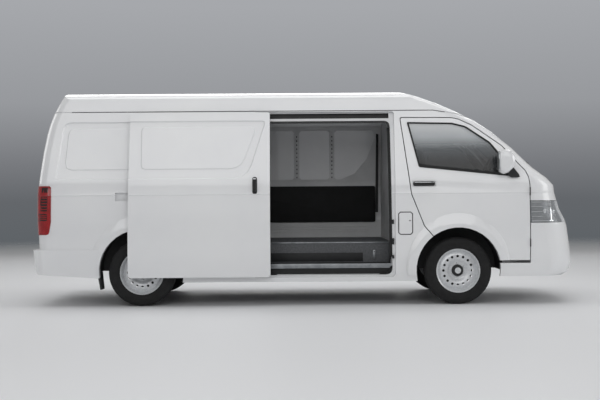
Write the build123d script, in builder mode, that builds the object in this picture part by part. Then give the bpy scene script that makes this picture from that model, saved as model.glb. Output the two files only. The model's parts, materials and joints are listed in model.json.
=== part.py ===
import os
from math import asin, cos, degrees, radians, sin, sqrt, tan

from build123d import *

# Electric panel van: +X forward, +Y to its left, +Z up, millimetres.
# The origin is on the ground under the middle of the body.

# Driving dimensions
wheelbase = 3100
front_axle_x = 1479
rear_axle_x = front_axle_x - wheelbase
axle_z = 327
tyre_radius = 327
tyre_width = 195
wheel_centre_y = 812
rim_radius = 208
rim_width = 168
rim_holes = 16
hole_ring_radius = 141
hole_radius = 14
spindle_radius = 28
kingpin_y = 740
pin_radius = 12
wheel_sides = 24
arch_sides = 36

front_end_x = 2706
rear_end_x = -2706
wall = 45
roof_wall = 35
flange = 15
skin = 12
glass_depth = 6
glass_thickness = 6
shut_gap = 9
bonnet_gap = 6
seat_gap = 0.3
lamp_stand_out = 8
bumper_stand_out = 12
bumper_tail = 48
drip_height = 9
drip_depth = 8

gutter_z = 1905
roof_crown_z = 2143
crown_radius = 4060
shoulder_radius = 120
shoulder_y = 702
shoulder_drop = 183
belt_z = 1350
screen_top_z = 1822
floor_top_z = 600
floor_thickness = 40
step_top_z = 400
step_thickness = 30
seat_platform_z = 815
arch_radius = 412
arch_centre_z = 340
liner_gap = 15
liner_thickness = 14
liner_bottom_z = 330
flare_height = 20
sill_z = 229

nose_x = 2184
bumper_top_z = 782
bumper_bottom_z = 272
bonnet_top_z = 1322
rear_bumper_top_z = 558
rear_bumper_x = -2036
sliding_door_front_x = 856
sliding_door_rear_x = -529
sliding_door_top_z = 1890
sliding_door_bottom_z = 282
sliding_door_travel = 1214
sliding_door_stand_off = 85
aperture_margin = 66
bulkhead_x = 862
bulkhead_thickness = 20
rail_y = 420
rail_width = 60
rail_top_z = 560
rail_height = 100
slot_z = (1834, 1884)
slot_x = (-470, 815)
centre_rail_x = (-1870, -560)
centre_rail_z = (1032, 1112)
flap_x = (894, 1030)
flap_z = (688, 905)
hinge_out_y = 947.5
tailgate_hinge_x = -2540
seat_width = 480
reach = 1400
far = 3000

# Directions, in degrees, of the flat facets that stand for each curve
front_turns = [2, 6, 11, 21, 34, 47, 60, 74]
rear_turns = [1.5, 5, 15, 31, 48, 65, 79]
roof_turns = [0, 5, 12, 26, 40, 55, 70.4]

# Horizontal sections of the body, from the sill up
# columns: height, rear end, front end, half width, rear bow, front bow, rear corner radius, front corner radius
body_sections = [
    (229, -2640, 2560, 900, 40, 150, 110, 320),
    (300, -2648, 2680, 912, 40, 150, 110, 320),
    (400, -2655, 2714, 924, 40, 150, 110, 320),
    (520, -2665, 2702, 936, 40, 150, 110, 320),
    (760, -2671, 2668, 944, 40, 150, 110, 320),
    (815, -2673, 2650, 946, 40, 148, 110, 315),
    (930, -2676, 2590, 941, 40, 145, 110, 300),
    (1083, -2676, 2546, 931, 40, 140, 110, 265),
    (1089, -2676, 2544, 935, 40, 140, 110, 262),
    (1160, -2672, 2536, 930, 42, 140, 110, 240),
    (1235, -2668, 2466, 928, 44, 140, 110, 200),
    (1340, -2658, 2322, 910, 46, 135, 110, 150),
    (1530, -2636, 2130, 877, 48, 130, 110, 120),
    (1694, -2606, 1925, 849, 48, 125, 110, 110),
    (1799, -2578, 1768, 830, 46, 120, 110, 110),
    (1905, -2540, 1558, 812, 46, 115, 110, 110),
    (1985, -2500, 1378, 800, 46, 110, 110, 130),
    (2060, -2456, 1170, 790, 46, 105, 110, 180),
    (2110, -2424, 985, 786, 46, 100, 110, 220),
    (2200, -2366, 400, 780, 46, 100, 110, 260),
]


def rounded(turn, tip, half, bow, corner):
    """How far a bowed end with round corners reaches in one direction, measured from the middle."""
    bow_radius = (half * half + bow * bow) / (2 * bow)
    bow_centre = tip - bow_radius
    corner_y = half - corner
    corner_x = bow_centre + sqrt((bow_radius - corner) ** 2 - corner_y ** 2)
    meeting = degrees(asin(corner_y / (bow_radius - corner)))
    if turn < meeting:
        return bow_centre * cos(radians(turn)) + bow_radius
    return corner_x * cos(radians(turn)) + corner_y * sin(radians(turn)) + corner


def outline_of(sides):
    """Corners of the convex outline whose sides face the given directions at the given distances."""
    corners = []
    for (turn_a, reach_a), (turn_b, reach_b) in zip(sides, sides[1:] + sides[:1]):
        a, b = radians(turn_a), radians(turn_b)
        x = (reach_a * sin(b) - reach_b * sin(a)) / sin(b - a)
        y = (reach_b * cos(a) - reach_a * cos(b)) / sin(b - a)
        corners.append((x, y))
    return corners


def softened(points, radii):
    """The outline with each corner cut by short chords."""
    ring = []
    for before, corner, after, radius in zip(points[-1:] + points[:-1], points, points[1:] + points[:1], radii):
        middle = Vector(*corner)
        back = (Vector(*before) - middle).normalized()
        ahead = (Vector(*after) - middle).normalized()
        turn = 180 - back.get_angle(ahead)
        run = radius * tan(radians(turn / 2))
        chords = 1 if radius < 25 else 2 if radius < 100 else 3
        start, end = middle + back * run, middle + ahead * run
        for step in range(chords + 1):
            t = step / chords
            place = start * (1 - t) ** 2 + middle * (2 * t * (1 - t)) + end * t ** 2
            ring.append((place.X, place.Y))
    return ring


def body_form(inset, lowest=0, highest=9999, tail=0):
    """The body between two heights as one solid, each face moved in by inset and the rear out by tail."""
    rings = []
    for z, rear, front, half, rear_bow, front_bow, rear_r, front_r in body_sections:
        if not lowest <= z <= highest:
            continue
        slant = 0.35 if z > belt_z - 10 else 0
        left = []
        for turn in front_turns:
            moved_in = inset * (1 + slant * cos(radians(turn)))
            left.append((turn, rounded(turn, front, half, front_bow, front_r) - moved_in))
        left.append((90, half - inset))
        for turn in reversed(rear_turns):
            moved_in = inset - tail * cos(radians(turn))
            left.append((180 - turn, rounded(turn, -rear, half, rear_bow, rear_r) - moved_in))
        right = [(360 - turn, distance) for turn, distance in reversed(left)]
        rings.append([(x, y, z) for x, y in outline_of(left + right)])
    # the sides of two outlines run parallel, so the faces between them are flat
    faces = [Face(Wire.make_polygon(rings[0])), Face(Wire.make_polygon(rings[-1]))]
    for low, high in zip(rings, rings[1:]):
        low_next, high_next = low[1:] + low[:1], high[1:] + high[:1]
        for corners in zip(low, low_next, high_next, high):
            faces.append(Face(Wire.make_polygon(corners)))
    with BuildPart() as form:
        add(Solid(Shell(faces)))
        if highest > gutter_z + 200:
            upper = []
            for turn in roof_turns:
                a = radians(turn)
                moved_in = inset * (roof_wall + (wall - roof_wall) * sin(a)) / wall
                if turn < 10:
                    distance = (roof_crown_z - crown_radius) * cos(a) + crown_radius
                else:
                    centre_z = roof_crown_z - shoulder_drop
                    distance = shoulder_y * sin(a) + centre_z * cos(a) + shoulder_radius
                upper.append((turn, distance - moved_in))
            over = [(90 - turn, distance) for turn, distance in reversed(upper)]
            over += [(90 + turn, distance) for turn, distance in upper[1:]]
            with BuildSketch(Plane.YZ.offset(-far)):
                with BuildLine():
                    Polyline(*outline_of(over + [(270, 0)]), close=True)
                make_face()
            extrude(amount=2 * far, mode=Mode.INTERSECT)
    return form.part


def side_prism(points, radii, grow=0, depth=reach):
    """A side-view outline carried out to the right of the middle plane."""
    with BuildPart() as prism:
        with BuildSketch(Plane.XZ):
            with BuildLine():
                Polyline(*softened(points, radii), close=True)
            make_face()
            if grow:
                offset(amount=grow, kind=Kind.INTERSECTION)
        extrude(amount=depth)
    return prism.part


def end_prism(points, radii, x_from, x_to, grow=0):
    """A front-view outline carried from x_from to x_to."""
    with BuildPart() as prism:
        with BuildSketch(Plane.YZ.offset(x_from)):
            with BuildLine():
                Polyline(*softened(points, radii), close=True)
            make_face()
            if grow:
                offset(amount=grow, kind=Kind.INTERSECTION)
        extrude(amount=x_to - x_from)
    return prism.part


def block(x_span, y_span, z_span):
    """A plain box between two X, two Y and two Z places."""
    middle = [(a + b) / 2 for a, b in (x_span, y_span, z_span)]
    with BuildPart() as box:
        with Locations(tuple(middle)):
            Box(x_span[1] - x_span[0], y_span[1] - y_span[0], z_span[1] - z_span[0])
    return box.part


def shaft(x, radius, y_from, y_to, z=axle_z):
    """A round bar across the van between two Y places."""
    with BuildPart() as bar:
        with BuildSketch(Plane.XZ.offset(-y_from)):
            with Locations((x, z)):
                Circle(radius)
        extrude(amount=-(y_to - y_from))
    return bar.part


def disc(x, radius, y_from, y_to, z=arch_centre_z, sides=arch_sides):
    """A many-sided disc across the van between two Y places."""
    with BuildPart() as drum:
        with BuildSketch(Plane.XZ.offset(-y_from)):
            with Locations((x, z)):
                RegularPolygon(radius, sides, major_radius=False, rotation=180 / sides)
        extrude(amount=-(y_to - y_from))
    return drum.part


def turned(rows, sides=wheel_sides, centre=(0, 0)):
    """A many-sided turned shape about Y; each row is a Y place, a radius and how far the centre is raised."""
    with BuildPart() as shape:
        for y, radius, raised in rows:
            with BuildSketch(Plane.XZ.offset(-y)):
                with Locations((centre[0], centre[1] + raised)):
                    RegularPolygon(radius, sides, major_radius=False, rotation=180 / sides)
        loft(ruled=True)
    return shape.part


def mirrored(part, label):
    """The same piece on the other side of the van."""
    with BuildPart() as other:
        add(part.mirror(Plane.XZ))
    other.part.label = label
    return other


pieces = []


def keep(builder, label):
    """Names a finished piece and lists it for export."""
    builder.part.label = label
    pieces.append(builder.part)


# The body's faces and the wall between them
body_outer = body_form(0)
body_inner = body_form(wall)
flange_inner = body_form(wall + flange)
drip_floor = body_form(drip_depth, 1694, 1985)
groove_floor = body_form(30, 930, 1160)
flap_floor = body_form(skin, 520, 1083)
lamp_outer = body_form(-lamp_stand_out, 520, 1235)
bumper_outer = body_form(-bumper_stand_out, 229, 760, bumper_tail)
flare_outer = body_form(-flare_height, 229, 930)
glass_outer = body_form(glass_depth, 1160, 1985)
glass_inner = body_form(glass_depth + glass_thickness, 1160, 1985)

with BuildPart() as shell_form:
    add(body_outer)
    add(body_inner, mode=Mode.SUBTRACT)
shell = shell_form.part

# Side-view outlines, from the rear or the top-left corner round
front_door_outline = [
    (917, 1842), (1430, 1838), (1500, 1822), (1630, 1760), (1915, 1558), (2072, 1380),
    (2140, 1308), (2172, 1240), (nose_x, 1170), (nose_x, 420), (1700, 420), (1250, 640),
    (1142, 766), (1018, 1083),
]
front_door_radii = [14, 14, 14, 14, 14, 14, 14, 14, 14, 2, 2, 2, 60, 200]
window_outline = [
    (995, 1786), (1440, 1776), (1560, 1742), (1793, 1584), (2082, 1246), (1104, 1350),
]
window_radii = [10, 100, 60, 100, 14, 14]
sliding_door_outline = [
    (sliding_door_rear_x + 20, sliding_door_top_z), (sliding_door_front_x, sliding_door_top_z),
    (sliding_door_front_x, sliding_door_bottom_z), (sliding_door_rear_x, sliding_door_bottom_z),
]
sliding_door_radii = [12, 12, 20, 20]
aperture_outline = [
    (sliding_door_rear_x + aperture_margin, 1803), (sliding_door_front_x - aperture_margin + 28, 1803),
    (sliding_door_front_x - aperture_margin + 40, 300), (sliding_door_rear_x + aperture_margin, 300),
]
roof_edge = [(-far, gutter_z), (1250, gutter_z), (1480, 1868), (1640, screen_top_z), (far, screen_top_z)]

# Prisms that cut the panels apart
front_door_aperture = side_prism(front_door_outline, front_door_radii)
front_door_leaf = side_prism(front_door_outline, front_door_radii, -shut_gap)
window_prism = side_prism(window_outline, window_radii)
window_pane = side_prism(window_outline, window_radii, -seat_gap)
sliding_recess = side_prism(sliding_door_outline, sliding_door_radii, shut_gap)
sliding_leaf = side_prism(sliding_door_outline, sliding_door_radii)
sliding_aperture = side_prism(aperture_outline, [75, 75, 55, 55])
with BuildPart() as roof_prism_form:
    with BuildSketch(Plane.XZ.offset(-reach)):
        with BuildLine():
            Polyline(*roof_edge, (far, far), (-far, far), close=True)
        make_face()
    extrude(amount=2 * reach)
roof_prism = roof_prism_form.part
with BuildPart() as drip_form:
    with BuildSketch(Plane.XZ.offset(-reach)):
        with BuildLine():
            lower_edge = [(-2480, gutter_z)] + roof_edge[1:4]
            Polyline(*lower_edge, *[(x, z + drip_height) for x, z in reversed(lower_edge)], close=True)
        make_face()
    extrude(amount=2 * reach)
    add(drip_floor, mode=Mode.SUBTRACT)
    add(block((-far, far), (-700, 700), (0, far)), mode=Mode.SUBTRACT)
tailgate_outline = [
    (-790, rear_bumper_top_z), (790, rear_bumper_top_z), (812, 1180),
    (700, gutter_z), (-700, gutter_z), (-812, 1180),
]
tailgate_radii = [40, 40, 200, 60, 60, 200]
tailgate_front_x = -2350
tailgate_aperture = end_prism(tailgate_outline, tailgate_radii, -far, tailgate_front_x)
tailgate_leaf = end_prism(tailgate_outline, tailgate_radii, -far, tailgate_front_x, -shut_gap)
windscreen_outline = [(-802, belt_z), (802, belt_z), (700, screen_top_z), (-700, screen_top_z)]
windscreen_aperture = end_prism(windscreen_outline, [60, 60, 70, 70], 1300, far)
windscreen_pane = end_prism(windscreen_outline, [60, 60, 70, 70], 1300, far, -seat_gap)
bonnet_outline = [(-690, 1150), (690, 1150), (690, bonnet_top_z), (-690, bonnet_top_z)]
bonnet_aperture = end_prism(bonnet_outline, [60, 60, 14, 14], nose_x + 16, far)
bonnet_leaf = end_prism(bonnet_outline, [60, 60, 14, 14], nose_x + 16, far, -bonnet_gap)
grille_outline = [(-600, 812), (600, 812), (640, 1070), (-640, 1070)]
grille_aperture = end_prism(grille_outline, [30, 30, 30, 30], nose_x + 16, far)
grille_frame = end_prism(grille_outline, [30, 30, 30, 30], nose_x + 16, far, -seat_gap)
lamp_outline = [(-1000, 790), (-765, 797), (-745, 1010), (-1000, 1012)]
headlamp_aperture = end_prism(lamp_outline, [2, 25, 25, 2], nose_x, far)
headlamp_body = end_prism(lamp_outline, [2, 25, 25, 2], nose_x + seat_gap, far, -seat_gap)
intake_outline = [(-560, 372), (560, 372), (600, 520), (-600, 520)]
intake_aperture = end_prism(intake_outline, [25, 25, 25, 25], nose_x + 16, far)
tail_lamp_outline = [(-2900, 705), (-2518, 705), (-2497, 830), (-2497, 1182), (-2900, 1182)]
tail_lamp_radii = [2, 30, 30, 14, 2]
lamp_inner_y = 826
tail_lamp_aperture = side_prism(tail_lamp_outline, tail_lamp_radii, 0, 600).moved(Pos(0, -lamp_inner_y, 0))
tail_lamp_body = side_prism(tail_lamp_outline, tail_lamp_radii, -seat_gap, 600).moved(
    Pos(0, -lamp_inner_y - seat_gap, 0)
)


# Raised lip round each wheel opening: wide over the top and narrow at the sill
# columns: Y place, radius, how far its centre stands above the arch centre
flare_rows = [(-reach, 440, 10), (-964, 440, 10), (-957, 456, 26), (-945, 487, 60), (-920, 512, 60)]


def wheel_flare(x):
    """A tapering lip on the body side, its back buried in the panel, right side."""
    with BuildPart() as lip:
        add(turned(flare_rows, arch_sides, (x, arch_centre_z)))
        add(flare_outer, mode=Mode.INTERSECT)
        add(body_inner, mode=Mode.SUBTRACT)
        add(block((-far, far), (-reach, 0), (285, far)), mode=Mode.INTERSECT)
    return lip.part


front_flare = wheel_flare(front_axle_x)
rear_flare = wheel_flare(rear_axle_x)
front_arch = disc(front_axle_x, arch_radius, -reach, -500)
rear_arch = disc(rear_axle_x, arch_radius, -reach, -500)

# Pressed panel fields on the upper side, which leans in as one plane; heights are measured up that plane
lean = 9.86
lean_foot_z = 1235
lean_foot_y = 928
upper_side = Plane(
    origin=(0, -lean_foot_y, lean_foot_z), x_dir=(1, 0, 0), z_dir=(0, -cos(radians(lean)), sin(radians(lean)))
)
band_depth = 11
field_depth = 5
quarter_band = [(-2385, 1812), (-600, 1812), (-600, 1240), (-2460, 1240)]
quarter_field = [(-2335, 1742), (-700, 1742), (-700, 1342), (-2365, 1342)]
door_band = [(sliding_door_rear_x - 40, 1812), (822, 1812), (640, 1240), (sliding_door_rear_x - 40, 1240)]
door_field = [(sliding_door_rear_x + 137, 1748), (725, 1748), (575, 1342), (sliding_door_rear_x + 137, 1342)]


def leaning_loft(points, radii, near, far_down):
    """A sloping-sided cutter on the upper side; near and far_down are each a depth and a growth."""
    flat = [(x, (z - lean_foot_z) / cos(radians(lean))) for x, z in softened(points, radii)]
    with BuildPart() as form:
        for depth, growth in (near, far_down):
            with BuildSketch(upper_side.offset(-depth)):
                with BuildLine():
                    Polyline(*flat, close=True)
                make_face()
                offset(amount=growth, kind=Kind.INTERSECTION)
        loft(ruled=True)
    return form.part


def emboss_tool(band, band_radii, field, field_radii):
    """What is cut from a panel to leave a sunk band with a raised field inside it."""
    with BuildPart() as tool:
        add(leaning_loft(band, band_radii, (-4, 4), (band_depth, -band_depth)))
        add(leaning_loft(field, field_radii, (field_depth, -2), (band_depth + 1, 8)), mode=Mode.SUBTRACT)
    return tool.part


quarter_emboss = emboss_tool(quarter_band, [70, 14, 14, 30], quarter_field, [60, 40, 40, 60])
door_emboss = emboss_tool(door_band, [14, 30, 190, 14], door_field, [30, 40, 160, 40])

# Body side: what both sides share, drawn for the right
with BuildPart() as side_base_form:
    add(shell)
    add(block((-far, far), (-reach, -600), (sill_z, far)), mode=Mode.INTERSECT)
    add(front_flare)
    add(rear_flare)
    add(roof_prism, mode=Mode.SUBTRACT)
    add(block((nose_x, far), (-reach, 0), (0, belt_z)), mode=Mode.SUBTRACT)
    add(block((1700, far), (-reach, 0), (0, 423)), mode=Mode.SUBTRACT)
    add(block((-far, -1900), (-reach, 0), (0, 285)), mode=Mode.SUBTRACT)
    add(block((-far, rear_bumper_x), (-reach, 0), (0, rear_bumper_top_z)), mode=Mode.SUBTRACT)
    add(tailgate_aperture, mode=Mode.SUBTRACT)
    add(windscreen_aperture, mode=Mode.SUBTRACT)
    add(front_door_aperture, mode=Mode.SUBTRACT)
    add(tail_lamp_aperture, mode=Mode.SUBTRACT)
    add(front_arch, mode=Mode.SUBTRACT)
    add(rear_arch, mode=Mode.SUBTRACT)
    add(quarter_emboss, mode=Mode.SUBTRACT)
side_base = side_base_form.part

# Right side, in three pressings: rear quarter, door frame with its sealing flange, and door pillar
recess_rear_x = sliding_door_rear_x + 20 - shut_gap
recess_front_x = sliding_door_front_x + shut_gap
with BuildPart() as flange_form:
    add(side_prism(sliding_door_outline, sliding_door_radii, shut_gap + 20))
    add(sliding_aperture, mode=Mode.SUBTRACT)
    add(block(slot_x, (-reach, 0), slot_z), mode=Mode.SUBTRACT)
    add(body_inner, mode=Mode.INTERSECT)
    add(flange_inner, mode=Mode.SUBTRACT)
    add(block((-far, far), (-reach, -600), (sill_z, gutter_z)), mode=Mode.INTERSECT)
hatch_outline = [
    (flap_x[0], flap_z[0]), (flap_x[1], flap_z[0]), (flap_x[1], flap_z[1]), (flap_x[0], flap_z[1]),
]
hatch_radii = [18, 18, 18, 18]
with BuildPart() as side_right:
    add(side_base)
    add(block((-far, recess_rear_x), (-reach, 0), (0, far)), mode=Mode.INTERSECT)
    add(sliding_recess, mode=Mode.SUBTRACT)
    with BuildSketch(Plane.XZ.offset(lean_foot_y - 28)):
        with Locations(((centre_rail_x[0] + centre_rail_x[1]) / 2, sum(centre_rail_z) / 2)):
            Rectangle(centre_rail_x[1] - centre_rail_x[0], centre_rail_z[1] - centre_rail_z[0])
    extrude(amount=200, mode=Mode.SUBTRACT)
keep(side_right, "body_side_right")

with BuildPart() as door_frame:
    add(side_base)
    add(block((recess_rear_x, recess_front_x), (-reach, 0), (0, far)), mode=Mode.INTERSECT)
    add(sliding_recess, mode=Mode.SUBTRACT)
    add(flange_form.part)
keep(door_frame, "door_frame_right")

with BuildPart() as pillar_panel:
    add(side_base)
    add(block((recess_front_x, far), (-reach, 0), (0, far)), mode=Mode.INTERSECT)
    add(side_prism(hatch_outline, hatch_radii, shut_gap / 2), mode=Mode.SUBTRACT)
keep(pillar_panel, "pillar_panel_right")

with BuildPart() as side_left_form:
    add(side_base)
    add(door_emboss, mode=Mode.SUBTRACT)
keep(mirrored(side_left_form.part, "body_side_left"), "body_side_left")

# Roof, with a drip groove at each side and the header over the windscreen
with BuildPart() as roof_panel:
    add(shell)
    add(roof_prism, mode=Mode.INTERSECT)
    add(drip_form.part, mode=Mode.SUBTRACT)
keep(roof_panel, "roof_panel")

# Nose between the doors, and the bumpers
with BuildPart() as nose_panel:
    add(shell)
    add(block((nose_x, far), (-reach, reach), (bumper_top_z, belt_z)), mode=Mode.INTERSECT)
    for cutter in (bonnet_aperture, grille_aperture, headlamp_aperture, headlamp_aperture.mirror(Plane.XZ)):
        add(cutter, mode=Mode.SUBTRACT)
keep(nose_panel, "nose_panel")

with BuildPart() as front_bumper:
    add(shell)
    with BuildSketch(Plane.XZ.offset(-reach)):
        with BuildLine():
            Polyline(
                (nose_x, bumper_top_z), (front_end_x, bumper_top_z), (front_end_x, bumper_bottom_z),
                (1700, bumper_bottom_z), (1700, 401), (nose_x, 401), close=True,
            )
        make_face()
    extrude(amount=2 * reach, mode=Mode.INTERSECT)
    add(disc(front_axle_x, arch_radius, -reach, reach), mode=Mode.SUBTRACT)
    add(intake_aperture, mode=Mode.SUBTRACT)
keep(front_bumper, "front_bumper")

with BuildPart() as rear_bumper:
    add(bumper_outer)
    add(body_inner, mode=Mode.SUBTRACT)
    with BuildSketch(Plane.XZ.offset(-reach)):
        with BuildLine():
            Polyline(
                (rear_bumper_x, rear_bumper_top_z), (rear_end_x + 16, rear_bumper_top_z), (rear_end_x, 538),
                (rear_end_x, 440), (-2680, 360), (-2640, 316), (rear_bumper_x, 276), close=True,
            )
        make_face()
    extrude(amount=2 * reach, mode=Mode.INTERSECT)
    add(disc(rear_axle_x, arch_radius, -reach, reach), mode=Mode.SUBTRACT)
keep(rear_bumper, "rear_bumper")

# Grille, a slatted piece of the nose
slot_pitch = 54
with BuildPart() as grille:
    add(shell)
    add(grille_frame, mode=Mode.INTERSECT)
    for slot in range(4):
        low = 840 + slot * slot_pitch
        add(block((nose_x + 16, far), (-560, 560), (low, low + 26)), mode=Mode.SUBTRACT)
keep(grille, "grille")

# Windscreen, bonnet and lamps
with BuildPart() as windscreen:
    add(glass_outer)
    add(glass_inner, mode=Mode.SUBTRACT)
    add(windscreen_pane, mode=Mode.INTERSECT)
keep(windscreen, "windscreen")

with BuildPart() as bonnet:
    add(shell)
    add(bonnet_leaf, mode=Mode.INTERSECT)
keep(bonnet, "bonnet")

with BuildPart() as headlamp_right:
    add(lamp_outer)
    add(body_inner, mode=Mode.SUBTRACT)
    add(headlamp_body, mode=Mode.INTERSECT)
with BuildPart() as headlamps:
    add(headlamp_right.part)
    add(headlamp_right.part.mirror(Plane.XZ))
keep(headlamps, "headlamps")

with BuildPart() as tail_lamp_right:
    add(lamp_outer)
    add(body_inner, mode=Mode.SUBTRACT)
    add(tail_lamp_body, mode=Mode.INTERSECT)
with BuildPart() as tail_lamps:
    add(tail_lamp_right.part)
    add(tail_lamp_right.part.mirror(Plane.XZ))
keep(tail_lamps, "tail_lamps")

# Tailgate with its handle recess and plate recess, and its glass
tailgate_window_outline = [(-640, 1270), (640, 1270), (600, 1745), (-600, 1745)]
with BuildPart() as tailgate:
    add(shell)
    add(tailgate_leaf, mode=Mode.INTERSECT)
    add(end_prism(tailgate_window_outline, [60, 60, 60, 60], -far, tailgate_front_x), mode=Mode.SUBTRACT)
    add(block((-far, -2656), (-150, 150), (1010, 1065)), mode=Mode.SUBTRACT)
    add(block((-far, -2662), (-280, 280), (760, 900)), mode=Mode.SUBTRACT)
keep(tailgate, "tailgate")

with BuildPart() as tailgate_glass:
    add(glass_outer)
    add(glass_inner, mode=Mode.SUBTRACT)
    add(
        end_prism(tailgate_window_outline, [60, 60, 60, 60], -far, tailgate_front_x, -seat_gap),
        mode=Mode.INTERSECT,
    )
keep(tailgate_glass, "tailgate_glass")

# Front doors with their handle recesses, and their glass
handle_floor_y = 919
with BuildPart() as door_right:
    add(shell)
    add(front_flare)
    add(front_door_leaf, mode=Mode.INTERSECT)
    add(block((-far, far), (-reach, -600), (0, far)), mode=Mode.INTERSECT)
    add(window_prism, mode=Mode.SUBTRACT)
    add(disc(front_axle_x, arch_radius, -reach, 0), mode=Mode.SUBTRACT)
    add(block((1034, 1258), (-reach, -handle_floor_y), (1156, 1206)), mode=Mode.SUBTRACT)
keep(door_right, "front_door_right")
keep(mirrored(door_right.part, "front_door_left"), "front_door_left")

with BuildPart() as door_glass_right:
    add(glass_outer)
    add(glass_inner, mode=Mode.SUBTRACT)
    add(window_pane, mode=Mode.INTERSECT)
keep(door_glass_right, "door_glass_right")
keep(mirrored(door_glass_right.part, "door_glass_left"), "door_glass_left")

# Sliding door, standing open beside the rear quarter
open_place = Pos(-sliding_door_travel, -sliding_door_stand_off, 0)
with BuildPart() as sliding_door_form:
    add(shell)
    add(sliding_leaf, mode=Mode.INTERSECT)
    add(block((-far, far), (-reach, -600), (0, far)), mode=Mode.INTERSECT)
    add(door_emboss, mode=Mode.SUBTRACT)
with BuildPart() as sliding_door:
    add(sliding_door_form.part.moved(open_place))
keep(sliding_door, "sliding_door")

# Bulkhead, floors and frame
cab_rear_x = bulkhead_x + bulkhead_thickness
with BuildPart() as bulkhead:
    add(body_inner)
    add(block((bulkhead_x, cab_rear_x), (-reach, reach), (floor_top_z, far)), mode=Mode.INTERSECT)
    add(flange_form.part, mode=Mode.SUBTRACT)
keep(bulkhead, "bulkhead")

floor_bottom_z = floor_top_z - floor_thickness
rail_bottom_z = rail_top_z - rail_height
liner_inner = arch_radius + liner_gap
liner_outer = liner_inner + liner_thickness
step_x = (sliding_door_rear_x + 46, sliding_door_front_x - 20)
step_bottom_z = step_top_z - step_thickness
with BuildPart() as floor_pan:
    add(body_inner)
    add(block((-2600, cab_rear_x), (-reach, reach), (floor_bottom_z, floor_top_z)), mode=Mode.INTERSECT)
    add(block((step_x[0] + 10, step_x[1] - 10), (-reach, -640), (0, far)), mode=Mode.SUBTRACT)
    for side in (-1, 1):
        inner, outer = sorted((side * 600, side * reach))
        add(disc(rear_axle_x, liner_outer, inner, outer), mode=Mode.SUBTRACT)
    add(block(step_x, (-868, -620), (step_bottom_z, step_top_z)))
    add(block((step_x[0] + 10, step_x[1] - 10), (-640, -620), (step_bottom_z, floor_top_z)))
    for end in (step_x[0], step_x[1] - 20):
        add(block((end, end + 20), (-860, -620), (step_bottom_z, floor_top_z)))
    add(flange_form.part, mode=Mode.SUBTRACT)
keep(floor_pan, "floor_pan")

platform_bottom_z = arch_centre_z + liner_outer + seat_gap
toe_board_x = 2290
with BuildPart() as cab_floor:
    add(block((cab_rear_x, 1850), (-850, 850), (platform_bottom_z, seat_platform_z)))
    add(block((1830, 1850), (-450, 450), (floor_bottom_z, seat_platform_z)))
    add(block((cab_rear_x, cab_rear_x + 20), (-480, 480), (floor_bottom_z, seat_platform_z)))
    add(block((1830, toe_board_x + 20), (-450, 450), (floor_bottom_z, floor_top_z)))
    add(block((1935, toe_board_x + 20), (-850, 850), (floor_bottom_z, floor_top_z)))
    add(block((toe_board_x, toe_board_x + 20), (-780, 780), (floor_bottom_z, 1130)))
keep(cab_floor, "cab_floor")


def liner(x, inner_y, outer_y):
    """An arched tub over one wheel, open below and outward, right side."""
    with BuildPart() as tub:
        add(disc(x, liner_outer, -outer_y, -inner_y))
        add(disc(x, liner_inner, -reach, -inner_y - liner_thickness), mode=Mode.SUBTRACT)
        add(block((-far, far), (-reach, 0), (liner_bottom_z, far)), mode=Mode.INTERSECT)
        add(block((x - 75, x + 75), (-inner_y - liner_thickness, -inner_y), (0, rail_bottom_z + 10)),
            mode=Mode.SUBTRACT)
        add(body_inner, mode=Mode.INTERSECT)
    return tub.part


with BuildPart() as wheel_liners:
    for tub in (liner(front_axle_x, 500, 868), liner(rear_axle_x, 600, 905)):
        add(tub)
        add(tub.mirror(Plane.XZ))
keep(wheel_liners, "wheel_liners")

# Mud flaps hang from the feet of the rear liners
flap_top_z = liner_bottom_z - seat_gap
flap_foot_x = rear_axle_x - liner_outer
with BuildPart() as mud_flaps:
    with BuildSketch(Plane.XZ.offset(-860)):
        with BuildLine():
            Polyline(
                (flap_foot_x - 4, flap_top_z), (flap_foot_x + 24, flap_top_z), (flap_foot_x + 40, 160),
                (flap_foot_x + 26, 160), close=True,
            )
        make_face()
    extrude(amount=160)
    add(mud_flaps.part.mirror(Plane.XZ))
keep(mud_flaps, "mud_flaps")

# Inner frame of the left load side, with fields that show the outer skin
frame_fields = [
    [(-2340, 1815), (-1700, 1815), (-1700, 1262), (-2400, 1262)],
    [(-1640, 1815), (-1090, 1815), (-1090, 1262), (-1640, 1262)],
    [(-1030, 1815), (-560, 1815), (-560, 1262), (-1030, 1262)],
    [(-500, 1815), (-128, 1815), (-128, 1262), (-500, 1262)],
    [(-72, 1815), (272, 1815), (272, 1262), (-72, 1262)],
    [(328, 1815), (770, 1815), (785, 1730), (700, 1500), (560, 1330), (400, 1262), (328, 1262)],
]
board_x = (-1050, bulkhead_x - 4)
board_z = (800, 1180)
with BuildPart() as inner_frame:
    add(body_inner)
    add(flange_inner, mode=Mode.SUBTRACT)
    add(block((-2440, bulkhead_x - 2), (600, reach), (floor_top_z + seat_gap, 1860)), mode=Mode.INTERSECT)
    for field in frame_fields:
        add(side_prism(field, [24] * len(field)).mirror(Plane.XZ), mode=Mode.SUBTRACT)
    add(block((board_x[0] - 1, far), (0, reach), (board_z[0] - 1, board_z[1] + 1)), mode=Mode.SUBTRACT)
    add(disc(rear_axle_x, liner_outer + 1, 0, reach), mode=Mode.SUBTRACT)
keep(inner_frame, "inner_frame")

with BuildPart() as load_liner:
    add(body_inner)
    add(flange_inner, mode=Mode.SUBTRACT)
    add(block(board_x, (600, reach), board_z), mode=Mode.INTERSECT)
    add(disc(rear_axle_x, liner_outer + 1, 0, reach), mode=Mode.SUBTRACT)
keep(load_liner, "load_liner")

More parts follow.
